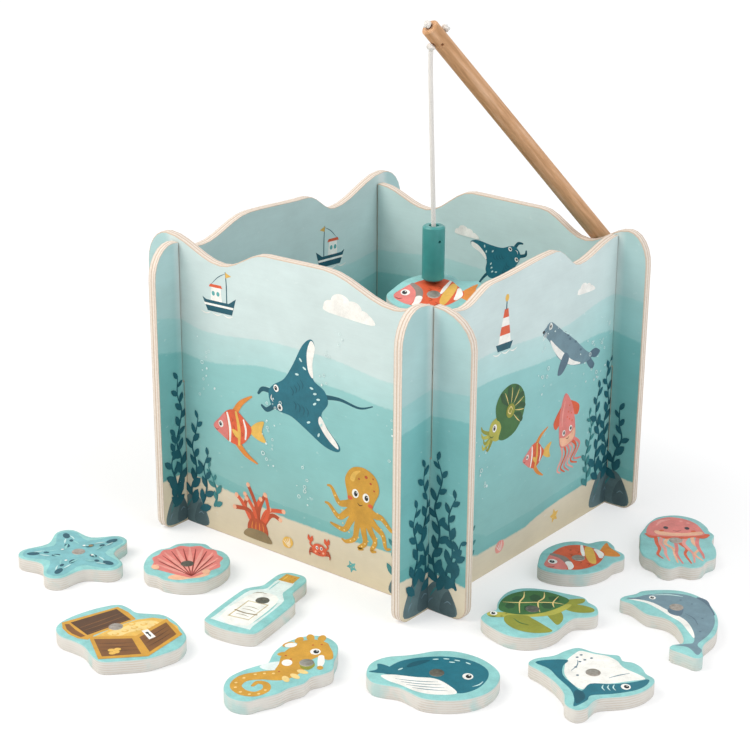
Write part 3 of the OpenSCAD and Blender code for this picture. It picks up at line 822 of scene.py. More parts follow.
def seal():
    d = blob("darkSlate", [
        (-28, -15), (-36, -14), (-43, -19), (-37, -22), (-30, -20), (-35, -27), (-31, -30),
        (-25, -24), (-23, -18)])
    d += stroke("slate", [
        (-27, -18, 6), (-18, -15, 12), (-4, -7, 19), (9, 3, 20), (19, 14, 15), (27, 22, 13)])
    d += stroke("white", [(-14, -19, 1.4), (-2, -14, 4), (10, -5, 6), (20, 5, 4.4), (26, 13, 1.6)])
    d += blob("darkSlate", [(7, -3), (14, -10), (17, -18), (11, -19), (4, -14), (1, -8)])
    d += oval("slate", 31, 22, 5.4, 4) + oval("black", 35.4, 23.4, 1.6, 1.2)
    for y in (19.6, 21, 22.4):
        d += dash("white", 0.5, (31, y), (34, y - 1.4), (37, y - 3))
    d += flecks("darkSlate", 1.8, 1, [(-8, 1, 30), (0, 6, 35), (6, 13, 40), (-15, -8, 20),
                                      (2, 10, 0)])
    return d + eye(26, 25, 2.2) + dash("paleAqua", 0.9, (10, 16), (4, 12), (-3, 8))


def nautilus():
    d = []
    for k, (x, y) in enumerate(((-24, -14), (-27, -9), (-28, -4), (-25, -18), (-20, -20))):
        d += stroke("lime" if k % 2 else "olive", [(-13, -7, 3.4), ((x - 13) / 2, (y - 10) / 2, 3),
                                                   (x, y, 2.2), (x - 2, y + 3, 1.2)])
    d += blob("lime", [(-8, 2), (-17, 1), (-20, -5), (-17, -12), (-10, -15), (-4, -12)])
    d += blob("green", [
        (-12, 2), (-14, 12), (-8, 21), (4, 25), (16, 21), (23, 11), (22, -2), (14, -12), (2, -16),
        (-7, -14), (-5, -6), (-8, -1)])
    for k, turn in enumerate((-28, 4, 36, 68, 100, 132)):
        c, s = math.cos(math.radians(turn)), math.sin(math.radians(turn))
        d += stroke("darkGreen", [
            (5 + 7 * c, 5 + 7 * s, 1.6), (5 + 13 * c - 1.4 * s, 5 + 13 * s + 1.4 * c, 3.6),
            (4.6 + 17.4 * c, 4.6 + 18 * s, 4.4)])
        d += dash("paleGold", 0.8, (5 + 6 * c + s, 5 + 6 * s - c), (5 + 12 * c + 2.4 * s,
                  5 + 12 * s - 2.4 * c), (5 + 17 * c + 3 * s, 5 + 17 * s - 3 * c))
    d += oval("olive", 5, 5, 5.4, 5.4) + dash("paleGold", 0.8, (8, 5), (5, 8), (2, 5), (5, 2.6),
                                              (6.6, 5))
    return d + eye(-13.6, -4.6, 2.6, -0.1) + dash("green", 0.7, (-19, -9.4), (-16.6, -11),
                                                  (-14, -10.6))


def squid():
    d = []
    for k, x in enumerate((-9, -5.4, -1.8, 1.8, 5.4, 9)):
        sway = 3 + 0.5 * k
        d += stroke(("rose", "coral", "pink")[k % 3], [
            (x, -4, 3), (x * 1.3 + sway, -13, 2.4), (x * 1.5 - sway, -22, 2),
            (x * 1.6 + sway * 0.7, -31 + abs(x) * 0.5, 1.2)])
    d += blob("coral", [
        (0, 34), (-10, 30), (-19, 22), (-16, 15), (-8, 18), (8, 18), (16, 15), (19, 22), (10, 30)])
    d += blob("pink", [
        (0, 41), (-7, 32), (-11, 19), (-12, 6), (-11, -3), (-5, -6), (5, -6), (11, -3), (12, 6),
        (11, 19), (7, 32)])
    d += blob("peach", [
        (-11, 5), (-10, -2), (-5, -5), (5, -5), (10, -2), (11, 5), (5, 2.6), (-5, 2.6)])
    d += dash("rose", 2, (-7, 14), (-5.4, 24), (-1, 34)) + dots("coral", [
        (4, 16), (7, 20), (3, 23), (5, 28), (1, 19), (7.6, 13)], 0.9)
    return d + eye(-5, 7, 2.3) + eye(5, 7, 2.3) + dash("darkRed", 0.8, (-2.4, 1), (0, -0.2),
                                                       (2.4, 1))


def boulder(width, tall):
    d = blob("rock", [
        (-width / 2, -3), (-width * 0.38, tall * 0.6), (-width * 0.05, tall),
        (width * 0.3, tall * 0.7), (width / 2, -3)])
    d += blob("darkRock", [
        (0, -3), (width * 0.1, tall * 0.5), (width * 0.3, tall * 0.66), (width * 0.48, -3)])
    for colour, thick, *line in (
            ("paleWeed", 1.2, (-0.3, 0.3), (-0.2, 0.55), (-0.05, 0.8)),
            ("slate", 0.9, (-0.36, 0), (-0.3, 0.16), (-0.22, 0.24)),
            ("slate", 0.8, (0.14, 0.2), (0.24, 0.3), (0.34, 0.24))):
        d += dash(colour, thick, *[(width * x, tall * y) for x, y in line])
    return d


def sandStar(colour="ochre"):
    ring = []
    for k in range(10):
        a, r = math.radians(90 + 36 * k), 5.6 if k % 2 == 0 else 3
        ring.append((r * math.cos(a), r * math.sin(a)))
    return blob(colour, ring, 3) + dots("paleGold", [(0, 2), (-1.6, -0.8), (1.6, -0.8)], 0.5)


# a cockle on the sand
def cockle(colour="rose"):
    d = blob(colour, [(-5.4, -1), (-5, 3.6), (0, 6), (5, 3.6), (5.4, -1), (1.6, -3.4),
                      (-1.6, -3.4)])
    for x in (-3, -1, 1, 3):
        d += dash("white", 0.6, (x * 0.3, -2.6), (x * 0.8, 1), (x * 1.2, 4.2))
    return d


def crab():
    d = []
    for way in (-1, 1):
        for k in range(3):
            d += stroke("rust", [(way * 5, -1 - k, 1.4), (way * (9 + k * 0.4), 0.6 - 1.6 * k, 1.2),
                                 (way * (11 - k * 0.4), -3.6 - k, 0.7)])
        d += stroke("coral", [(way * 5, 1, 1.8), (way * 9, 4, 1.8), (way * 8, 7, 2)])
        d += blob("coral", [
            (way * 8, 6), (way * 11.4, 8), (way * 10.4, 12), (way * 8.6, 9.4), (way * 6.4, 11.4),
            (way * 5.6, 8)])
    d += blob("coral", [(-7.4, 0), (-5, 4.6), (0, 5.8), (5, 4.6), (7.4, 0), (4.4, -4), (-4.4, -4)])
    return d + dots("peach", [(-4, -1.4), (4, -1.4)], 1.1) + eye(-2.2, 2.2, 1.3) \
        + eye(2.2, 2.2, 1.3) + dash("darkRed", 0.6, (-1.4, -1.4), (0, -2.2), (1.4, -1.4))


# the same sea in small: each catch piece shows what its outline is, round its disc

def starfishArt():
    ring = []
    for k in range(5):
        a = math.radians(90 + 72 * k)
        for r, lean in ((31.5, -0.17), (31.5, 0.17), (18.5, math.radians(36))):
            ring.append((r * math.cos(a + lean) - 2, r * math.sin(a + lean) - 1))
    d = blob("mist", ring, 4)
    for k in range(5):
        a = 90 + 72 * k
        c, s = math.cos(math.radians(a)), math.sin(math.radians(a))
        for r, off, long, wide in ((26.5, 0.6, 4, 2.2), (18.5, -1, 1.8, 1.3), (12, 3, 2.8, 1.7)):
            d += oval("deepTeal", r * c - off * s - 2, r * s + off * c - 1, long, wide, a)
        for r, off, colour, wide in ((8, 4.8, "aqua", 1.5), (16, 3.8, "paleAqua", 1.3),
                                     (12, -4.4, "aqua", 1.2), (20, -3.2, "paleAqua", 1)):
            d += dash(colour, wide, (r * c - off * s - 2, r * s + off * c - 1),
                      ((r + 3) * c - off * 0.8 * s - 2, (r + 3) * s + off * 0.8 * c - 1),
                      ((r + 6) * c - off * 0.5 * s - 2, (r + 6) * s + off * 0.5 * c - 1))
    return d + dots("white", [(-9, 6), (5, 7), (7, -8), (-10, -10)], 1) \
        + oval("umber", 9, 5.4, 1.5, 1.5)


def shellArt():
    hinge, ribs, lobes, rim = (4, -17), 9, 8, []
    for k in range(2 * lobes + 1):
        a = math.radians(-36 + 252 * k / (2 * lobes))
        r = 22.6 if k % 2 else 20.6
        rim.append((r * math.cos(a) - 0.5, r * math.sin(a) + 3.6))
    d = blob("peach", [
        (-7, -15), (-10, -20), (-3, -22), (4, -20), (10, -18.5), (15, -14), (10, -11)])
    d += blob("pink", [(6, -18), *rim, (1, -18)], 3)
    for k in range(ribs):
        a = math.radians(-14 + 208 * k / (ribs - 1))
        x, y = 19 * math.cos(a) - 0.5, 19 * math.sin(a) + 3.6
        d += dash("rose", 2.8, (hinge[0] * 0.8 + x * 0.2, hinge[1] * 0.8 + y * 0.2),
                  ((hinge[0] + x) / 2, (hinge[1] + y) / 2), (x, y))
    for k in range(ribs - 1):
        a = math.radians(-1 + 208 * k / (ribs - 1))
        x, y = 17.6 * math.cos(a) - 0.5, 17.6 * math.sin(a) + 3.6
        d += dash("darkRed", 0.9, hinge, (hinge[0] * 0.45 + x * 0.55, hinge[1] * 0.45 + y * 0.55),
                  (x, y))
    return d + oval("peach", -19.4, -5, 2.4, 3.4, 20) + oval("peach", 12.6, -11, 2.6, 3)


def chestArt():
    d = blob("ochre", [
        (-32, 5), (-30.6, -2), (-26, -9), (-20, -14), (-14, -15.5), (-11, -10), (10.6, 9.4),
        (5, 18), (-2, 24.6)], 1)
    d += blob("brown", [
        (-30, 3), (-28, -3), (-24, -8.4), (-18.4, -12.6), (-16, -11), (-22.6, -4),
        (-27.6, 3.4)], 1)
    d += blob("darkBrown", [(-27, 5), (-15, -10), (7.6, 9), (-2.4, 22)], 1)
    for k in range(3):
        d += dash("brown", 0.8, (-21 + 3.2 * k, -1.6 - 3 * k), (-10 + 3.4 * k, 7.4 - 3 * k),
                  (0.6 + 3 * k, 16.6 - 3.4 * k))
    d += blob("gold", [(-11, -12), (11, 8.6), (28, 9), (38, -8), (14, -13), (0, -14)], 2)
    d += blob("paleGold", [
        (-4, -8), (4, -1), (12, 6), (22, 7), (27, 1), (20, -4), (10, -6), (3, -11)])
    for x, y in ((6, -5), (11, -1), (16, 3), (20, -1), (14, -4), (1, -9), (24, 4), (9, 3)):
        d += oval("gold", x, y, 2.2, 1.6, 20, 12) + oval("paleGold", x - 0.4, y + 0.4, 1.3, 0.9)
    d += blob("ochre", [(-14, -12), (13, -11), (22.6, -34.6), (-5, -38)], 1)
    d += blob("brown", [(-10.6, -15), (11, -14), (18.4, -32), (-3.4, -35)], 1)
    d += blob("ochre", [(13, -11), (28.4, 10), (39.4, -9), (22.6, -34.6)], 1)
    d += blob("brown", [(15, -12.6), (28.6, 5.4), (36, -9), (22.8, -29.6)], 1)
    for k in range(3):
        d += dash("darkBrown", 0.8, (-7.6 + 1.6 * k, -20 - 4.4 * k), (3, -19.8 - 4.2 * k),
                  (12 + 2 * k, -19 - 4.2 * k))
        d += dash("darkBrown", 0.8, (18 + 1.8 * k, -16 - 3.6 * k), (24.6 + 1.6 * k, -7 - 4 * k),
                  (29.4 + 1.6 * k, 0.4 - 4 * k))
    d += blob("white", [(15.4, -5), (19, -3.4), (24.4, -12), (21, -15.4)], 1)
    d += oval("black", 19, -7.6, 1, 1.3, 30) + dash("black", 1.2, (19.4, -8), (20.6, -10),
                                                    (21.6, -12))
    return d + flecks("gold", 2, 1.7, [(1, -28, 0), (4, -30, 0), (2, -31.4, 0), (4.4, -27, 0)],
                      22)


def bottleArt():
    d = blob("glass", [
        (-13, -34), (11, -34.4), (12, -30), (12, 2), (9, 9), (5.4, 15), (5, 28.6), (-6, 28.6),
        (-6, 15), (-11, 10), (-14.4, 3), (-14.4, -30)], 3)
    d += blob("white", [(-11, -31), (9, -31), (9.4, 0), (4, 9), (-6, 9), (-11.4, 0)], 2)
    d += blob("ochre", [(-6, 27.6), (4.4, 27.6), (4, 37), (-5.6, 37)], 1)
    d += dash("gold", 1, (-3.6, 29), (-3.4, 32), (-3.6, 36)) + dots("rust", [
        (1, 30), (2.2, 34), (-1, 35)], 0.5)
    d += blob("sand", [(-8, -26), (6, -25), (6.4, -3), (-7.6, -4)], 1)
    d += blob("white", [(-7, -25), (5.4, -24.2), (5.6, -4), (-6.8, -4.8)], 1)
    for y in (-11, -14.5, -21.5):
        d += dash("umber", 0.6, (-5, y), (-0.6, y + 0.7), (4, y))
    d += stroke("umber", [(-8, -17.6, 1.1), (-0.6, -18.4, 1), (6.6, -17.2, 1.1)])
    d += dash("umber", 0.7, (-10, 5), (-7, 8), (-2, 8.4))
    d += dash("aqua", 1.1, (10, -26), (10.4, -10), (9.6, 1))
    return d + dash("aqua", 1, (-4, 14), (-4.2, 20), (-4, 26))


def seahorseArt():
    d = blob("glass", [(-14, 1), (-21, 0), (-26, -4), (-22, -8), (-13, -7)])
    d += flecks("ochre", 4, 2.4, [(-11, 21, 40), (-5, 26, 70), (1.4, 29, 95), (8, 28, 80),
                                  (-13, 10, 10)], 12)
    d += stroke("ochre", [
        (3, 17, 20), (-5, 8, 18), (-8, -4, 16), (-14, -13, 12.6), (-24, -14, 9), (-34, -17, 7.4),
        (-38, -25, 6.6), (-34, -32, 6), (-27, -34, 5), (-21.4, -29.6, 4.6), (-21.6, -23.6, 4),
        (-26, -21.4, 3.2), (-28.6, -25, 2.2)])
    d += blob("olive", [(-3, 3), (2.6, 3), (4.6, -3), (1, -8), (-3.4, -5)])
    d += stroke("ochre", [(7, 17, 12), (10.6, 11, 8), (12, 6, 5.6)])
    d += stroke("white", [(8, 7, 3.4), (8, 1, 4), (7.6, -3, 3)])
    d += oval("ochre", 7.6, -5.6, 1.8, 2.2)
    d += oval("white", -11, 0, 3, 3.6) + oval("white", -9.6, 20, 3.6, 2.6, 20)
    d += flecks("paleGold", 3.6, 2, [(-2, -10, -30), (-6, -15, -50), (-11, -18, -70)], 12)
    d += dots("paleGold", [(-18, -12), (-23, -12), (-28, -13), (-34, -17), (-38, -22), (-38, -27),
                           (-35, -32), (-30, -34.4), (-25, -34), (-21.6, -30)], 0.9)
    return d + eye(4.6, 12.4, 3) + dots("rust", [(3, 20), (8, 20.6), (-12, 8), (-9, 4),
                                                 (-15, -10)], 0.7)


def whaleArt():
    d = blob("teal", [(-37.5, 1), (-33, 4), (-32.6, 10), (-27.6, 8), (-24, 4), (-24, -1)])
    d += blob("teal", [
        (-30, 0), (-25, 8), (-18, 14), (-6, 17.6), (8, 18), (20, 13.6), (27.6, 5), (28.4, -4),
        (24, -14), (17.6, -20), (10.4, -22), (4, -16), (-6, -9), (-20, -4)])
    d += blob("white", [
        (-31, -3), (-24, -2), (-12, -4.6), (-2, -6), (5, -12), (10, -22), (-2, -23.4), (-12, -20),
        (-20, -13.4), (-27, -8.6)])
    for k in range(4):
        d += dash("slate", 0.8, (-23 + 3 * k, -6.4 - 3.2 * k), (-12 + 2 * k, -9 - 3 * k),
                  (0.4 + 1.6 * k, -10 - 3.2 * k))
    d += blob("deepTeal", [(-16, 6), (-9, 9), (-3, 14), (-9, 13.6), (-15, 10)])
    d += eye(17, -4, 3) + dash("paleAqua", 0.9, (19, -15), (22.6, -13), (25, -9.6))
    return d + flecks("paleAqua", 1.8, 0.6, [(0, 15, 5), (6, 15.4, -10), (12, 13.6, -20),
                                             (18, 10.4, -40), (9, 11.6, -10), (-20, 4, 40)])


def sharkArt():
    d = blob("white", [
        (-13, 14), (-8, 21), (-4, 24.4), (3, 21), (10, 18.6), (15, 13), (18, 5), (28, -6),
        (20, -9), (8, -12), (-2, -12), (-8, -18), (-13, -12), (-16, -2), (-15, 7)])
    d += blob("teal", [
        (-31, 11), (-25, 14), (-12.6, 14), (-16, 7), (-17, -3), (-13, -12), (-8.6, -19.6),
        (-3, -12), (8, -12.6), (20, -10.6), (29.4, -7.4), (28, -13), (21, -19), (8, -23),
        (-4, -24.6), (-7, -30), (-14.6, -36), (-13.6, -28), (-14.6, -18), (-20, -6), (-24, 4)], 4)
    d += blob("deepTeal", [(-12.6, -20), (-8, -21), (-8, -28), (-13, -33)])
    for x in (6, 9, 12):
        d += dash("paleAqua", 0.8, (x - 2, -13.4), (x - 3, -16.4), (x - 2, -19.4))
    d += dash("slate", 0.9, (8, -6), (14, -3), (20, -1)) + dash("slate", 0.7, (-12, 2), (-8, 8),
                                                              (-7, 14))
    d += dots("darkSlate", [(-7, 17), (-4.4, 19.6), (-6, 12), (-9, 6), (1, 16), (-3, 14),
                            (-9, -3)], 0.9)
    return d + eye(16, -15.6, 2.7)


def turtleArt():
    d = blob("olive", [(17, 9), (24, 12.6), (32, 13), (31, 8), (24, 5), (18, 4)])
    d += blob("olive", [(18, 5), (27, 6), (36, 1), (35, -4), (26, -4.4), (19, 0)])
    d += blob("olive", [(8, -5), (10, -14), (13, -19.6), (17, -12), (16, -3)])
    d += blob("lime", [(-16, -4), (-14, -10), (-2, -10), (12, -7), (22, 2), (20, 6)])
    d += stroke("lime", [(-13, -7, 6), (-20, -7, 6.4), (-24, -6.6, 7)])
    d += blob("olive", [
        (-16, -8), (-17.6, -16), (-12, -25), (-2, -29.4), (9, -27.6), (5, -20), (-1, -12),
        (-5, -8)])
    d += blob("green", [
        (-20, 0), (-18, 10), (-12, 18.6), (-2, 23.4), (9, 22.6), (18, 17.4), (23, 11), (17, 3),
        (7, -4), (-5, -7), (-15, -5)])
    for x, y, rx, t in ((-13, 4, 4, 70), (-2, 1, 4.6, 85), (9, 4, 4.4, 110), (-8, 13, 4, 50),
                        (3, 14, 5, 95), (14, 13, 4, 140)):
        d += oval("darkGreen", x, y, rx, rx * 0.76, t, 6)
    for line in (((-17, 9), (-8, 8), (3, 8.4), (13, 8), (19, 6)), ((-3, 22), (-4, 15), (-7, 8),
                 (-8, -5)), ((9, 21), (8, 14), (4, 8), (4, -4)), ((17, 16), (13, 8), (13, 2))):
        d += dash("paleGold", 0.9, *line)
    return d + eye(-23.4, -5.4, 2.2, -0.1) + dash("green", 0.7, (-26.6, -8.4), (-24, -9.4),
                                                 (-22, -9)) \
        + dots("olive", [(-19, -9), (-16, -5.6)], 0.8) + dash("green", 0.9, (-12, -12),
                                                             (-9, -17), (-4, -20))


def bandedFishArt():
    d = blob("orange", [(15, 2), (20, 10), (25.6, 15.6), (25, 9), (27, 0), (26, -4.6), (20, -3)])
    d += blob("coral", [
        (-24, -5.6), (-20, 3), (-12, 12), (-2, 18), (8, 17), (14, 11), (18.6, 3), (14, -5.6),
        (7, -12), (-4, -15.4), (-15, -12.6)])
    d += blob("pink", [
        (-24, -5.6), (-20, 3), (-14.6, 9.4), (-10.4, 3), (-10.6, -6), (-13, -13), (-19, -11)])
    d += stroke("grey", [(-14, 9, 3.4), (-9.4, 3, 4.6), (-8.4, -5, 4.2)])
    d += stroke("white", [(-8.4, -5, 4.4), (-9, -10, 4), (-10.6, -13, 2.4)])
    d += stroke("white", [(8.6, 16, 1.6), (6, 8, 2.4), (4.4, 2, 1.6)])
    d += blob("gold", [(10, 13.4), (13.4, 11), (12, 2), (8, -10), (4.6, -8), (5.6, 2)])
    d += stroke("white", [(15, 8, 2.6), (15.6, 2, 4.4), (14, -3, 2.6)])
    for x, y in ((-2, 12), (2, 8), (-4, 5), (1, 2), (-2, -6), (2, -10), (-4, -1)):
        d += dash("rust", 1, (x, y + 1.8), (x + 1.8, y), (x, y - 1.8))
    return d + eye(-17.4, -0.8, 2.9, -0.15) + dash("darkRed", 0.8, (-23, -6.6), (-20.6, -8),
                                                   (-18.4, -7.2))


def jellyfishArt():
    d = []
    for k, x in enumerate((-12.4, -8.6, -4.4, -0.4, 3.6, 7.4, 11, 14.6)):
        colour = ("coral", "rose", "peach", "pink")[k % 4]
        end = -24 - 9 * math.sin(math.pi * (k + 0.5) / 8)
        a, b = 1.6 * math.sin(2.1 * k + 1), 2.2 * math.sin(3.3 * k)
        d += stroke(colour, [(x, 4, 2.6), (x - 1.8 + a, -4, 2.4), (x + b, -12, 2.2),
                             (x - 1 - a, -20, 1.8), (x + b * 0.6, end, 1.1)])
    d += blob("coral", [
        (-18, 8), (-15, 3.6), (-10, 5.4), (-6, 2.4), (0, 4.4), (6, 2.4), (12, 4.6), (17, 2.6),
        (21.4, 5), (20, 10), (-15, 11)])
    d += blob("pink", [
        (-17, 9), (-15.4, 20), (-10, 29), (0, 35), (10, 32.6), (17, 25), (19.6, 14), (19.4, 8),
        (10, 6), (0, 5.6), (-9, 6.4)])
    d += blob("peach", [
        (-11, 15), (-2, 11.6), (8, 11), (18, 13), (18, 8.6), (8, 7), (-4, 7), (-11, 9.6)])
    d += dash("rose", 2.4, (-9, 23), (-5, 29), (1, 31.4)) + dots("rose", [(12, 26), (8, 29)], 1.2)
    return d + oval("black", -3.6, 19, 1.6, 2.1) + oval("black", 10, 18, 1.6, 2.1) \
        + dash("darkRed", 0.9, (0.4, 14.6), (3, 13.6), (5.6, 14.6)) \
        + dots("coral", [(-7, 14.6), (13.4, 13.4)], 1.7)


def dolphinArt():
    d = blob("darkSlate", [(14, 12), (19.6, 9), (20.6, 0), (21, -10), (16, -6)])
    d += blob("slate", [
        (-28, 11.6), (-22, 12.6), (-16, 15.6), (-8, 17.4), (4, 17.4), (13, 12.6), (18.6, 3),
        (20.4, -10), (18.6, -22), (13, -34), (6, -43), (4.6, -47), (6, -52), (2.6, -57.6),
        (0.4, -52), (-2, -48), (-8.4, -46), (-2, -44.6), (3, -42.6), (5, -30), (3.4, -18),
        (-2, -9), (-8, -1), (-14, 6), (-21, 9.6)], 4)
    d += blob("white", [
        (-27, 10.4), (-20, 9.6), (-13, 5.6), (-7, -2), (-1, -10), (3.4, -18), (5, -30), (4, -38),
        (2, -30), (-0.6, -19), (-6, -10.6), (-12, -1), (-18, 6)])
    d += blob("darkSlate", [(-1, 2), (-5.6, -3), (-5, -8), (0, -11), (3, -6), (3.6, 0)])
    d += dash("darkSlate", 0.8, (-28, 10.6), (-22, 10.8), (-17, 12)) \
        + dash("paleAqua", 1.2, (-12, 15.6), (-2, 16), (6, 13.6)) \
        + dash("darkSlate", 0.9, (4, -8), (8, -14), (9, -22))
    return d + eye(-12.4, 12.2, 2, -0.1) + dots("darkSlate", [(4, 9), (10, 4), (13, -14),
                                                              (9, -30)], 0.8)


# a face of a wall: a point on it, the way its drawings run, and the way it faces
walls["faces"] = {
    "frontOutside": ((0, -3), (1, 0), (0, -1)), "frontInside": ((0, 3), (-1, 0), (0, 1)),
    "rightOutside": ((103, 100), (0, 1), (1, 0)), "rightInside": ((97, 100), (0, -1), (-1, 0)),
    "backOutside": ((0, 203), (-1, 0), (0, 1)), "backInside": ((0, 197), (1, 0), (0, -1)),
    "leftOutside": ((-103, 100), (0, -1), (-1, 0)), "leftInside": ((-97, 100), (0, 1), (1, 0))}


def wallFrame(face):
    (px, py), (ax, ay), (ox, oy) = walls["faces"][face]
    return Matrix(((ax, 0, ox, px), (ay, 0, oy, py), (0, 1, 0, 0), (0, 0, 0, 1)))


# lays drawings on a flat face, each shape a hair above the ones that it may cover
def printArt(name, local, drawings, slotName):
    verts, faces, colours, laid = [], [], [], []
    for drawing in drawings:
        xs = [x for _, ring, _ in drawing for x, _ in ring]
        ys = [y for _, ring, _ in drawing for _, y in ring]
        box = (min(xs), max(xs), min(ys), max(ys))
        start = max([top for other, top in laid if box[0] < other[1] and other[0] < box[1]
                     and box[2] < other[3] and other[2] < box[3]], default=0)
        laid.append((box, start + len(drawing)))
        for layer, (colour, ring, pieces) in enumerate(drawing, start):
            first = len(verts)
            rise = layers["first"] + layers["gap"] * layer
            verts += [(local @ Vector((x, y, rise))) * mm for x, y in ring]
            ink = toLinear(inks[colour])
            for piece in pieces:
                total = sum(ring[piece[i - 1]][0] * ring[piece[i]][1]
                            - ring[piece[i]][0] * ring[piece[i - 1]][1]
                            for i in range(len(piece)))
                if abs(total) > layers["sliver"]:
                    faces.append([first + i for i in (piece if total > 0 else piece[::-1])])
                    colours.append(ink)
    mesh = bpy.data.meshes.new(name)
    mesh.from_pydata(verts, [], faces)
    tint = mesh.color_attributes.new("ink", "FLOAT_COLOR", "CORNER")
    corners = []
    for face, ink in zip(mesh.polygons, colours):
        corners += ink * face.loop_total
    tint.data.foreach_set("color", corners)
    mesh.materials.append(printInk)
    fit(newObject(name, mesh), slotName)


rising = dict(step=11, wave=1.9, sway=2.4, foot=2.2, thinning=1.4, smooth=4)


# a wavy line on a wall from (x, y) upwards, for a weed's stem or a trail of bubbles
def risingLine(x, y, tall, lean):
    n = max(3, round(tall / rising["step"]))
    return [(x + lean * k / n + rising["sway"] * math.sin(rising["wave"] * k + x),
             y + tall * k / n) for k in range(n + 1)]


def stem(colour, *shape):
    line = risingLine(*shape)
    n = len(line) - 1
    return stroke(colour, [(x, y, rising["foot"] - rising["thinning"] * k / n)
                           for k, (x, y) in enumerate(line)])


# geometry nodes that set copies of a flat stencil along lines on a face: leaves to both sides
# of a stem, or bubbles scattered along their trail, each copy a hair above the last
def alongLinesGroup():
    group = bpy.data.node_groups.new("print along lines", "GeometryNodeTree")
    for kind, names in (("Geometry", ["Lines"]), ("Object", ["Stencil"]),
                        ("Material", ["Finish"]), ("Int", ["Layers", "Seed"]),
                        ("Float", ["Spacing", "First Size", "Last Size", "Size Spread", "Turn",
                                   "Turn Spread", "Jitter", "Layer"])):
        for name in names:
            group.interface.new_socket(name, in_out="INPUT", socket_type="NodeSocket" + kind)
    group.interface.new_socket("Print", in_out="OUTPUT", socket_type="NodeSocketGeometry")
    given = addNode(group, "NodeGroupInput").outputs
    facing = addNode(group, "GeometryNodeInputNamedAttribute", {"Name": "facing"},
                     data_type="FLOAT_VECTOR").outputs["Attribute"]
    index = addNode(group, "GeometryNodeInputIndex")
    curve = addNode(group, "GeometryNodeMeshToCurve", {"Mesh": given["Lines"]})
    points = addNode(group, "GeometryNodeResampleCurve", {"Curve": curve,
                     "Length": given["Spacing"]}, mode="LENGTH")
    # each copy steps aside in the face's plane, and out by its layer
    scatter = addNode(group, "FunctionNodeRandomValue", {0: (-1, -1, -1), 1: (1, 1, 1),
                      "Seed": given["Seed"]}, data_type="FLOAT_VECTOR")
    out = addNode(group, "ShaderNodeVectorMath", {0: scatter, 1: facing}, operation="PROJECT")
    flat = addNode(group, "ShaderNodeVectorMath", {0: scatter, 1: out}, operation="SUBTRACT")
    aside = addNode(group, "ShaderNodeVectorMath", {0: flat, "Scale": given["Jitter"]},
                    operation="SCALE")
    layer = addNode(group, "ShaderNodeMath", {0: index, 1: given["Layers"]}, operation="MODULO")
    rise = addNode(group, "ShaderNodeMath", {0: layer, 1: given["Layer"]}, operation="MULTIPLY")
    lifted = addNode(group, "ShaderNodeVectorMath", {0: facing, "Scale": rise},
                     operation="SCALE")
    offset = addNode(group, "ShaderNodeVectorMath", {0: aside, 1: lifted}, operation="ADD")
    spots = addNode(group, "GeometryNodeSetPosition", {0: points, "Offset": offset})
    # copies lie flat, lean from the line to the left and right in turn, and shrink upwards
    upright = addNode(group, "FunctionNodeAlignRotationToVector", {"Vector": facing}, axis="Z")
    tangent = addNode(group, "GeometryNodeInputTangent")
    aligned = addNode(group, "FunctionNodeAlignRotationToVector", {
        "Rotation": upright, "Vector": tangent}, axis="Y", pivot_axis="Z")
    odd = addNode(group, "ShaderNodeMath", {0: index, 1: 2.0}, operation="MODULO")
    side = addNode(group, "ShaderNodeMath", {0: odd, 1: 2.0, 2: -1.0}, operation="MULTIPLY_ADD")
    lean = addNode(group, "ShaderNodeMath", {0: side, 1: given["Turn"]}, operation="MULTIPLY")
    wobble = addNode(group, "FunctionNodeRandomValue", {2: -1.0, 3: 1.0, "Seed": given["Seed"]},
                     data_type="FLOAT").outputs[1]
    angle = addNode(group, "ShaderNodeMath", {0: wobble, 1: given["Turn Spread"], 2: lean},
                    operation="MULTIPLY_ADD")
    spin = addNode(group, "FunctionNodeAxisAngleToRotation", {0: (0, 0, 1), 1: angle})
    turned = addNode(group, "FunctionNodeRotateRotation", {0: aligned, 1: spin},
                     rotation_space="LOCAL")
    share = addNode(group, "GeometryNodeSplineParameter").outputs["Factor"]
    size = addNode(group, "ShaderNodeMapRange", {"Value": share, 3: given["First Size"],
                                                 4: given["Last Size"]})
    grown = addNode(group, "ShaderNodeMath", {0: wobble, 1: given["Size Spread"], 2: 1.0},
                    operation="MULTIPLY_ADD")
    size = addNode(group, "ShaderNodeMath", {0: size, 1: grown}, operation="MULTIPLY")
    stencil = addNode(group, "GeometryNodeObjectInfo", {"Object": given["Stencil"]})
    copies = addNode(group, "GeometryNodeInstanceOnPoints", {
        "Points": spots, "Instance": stencil.outputs["Geometry"], "Rotation": turned,
        "Scale": size})
    whole = addNode(group, "GeometryNodeRealizeInstances", {0: copies})
    done = addNode(group, "GeometryNodeSetMaterial", {0: whole, "Material": given["Finish"]})
    addNode(group, "NodeGroupOutput", {0: done})
    return group


alongLines = alongLinesGroup()


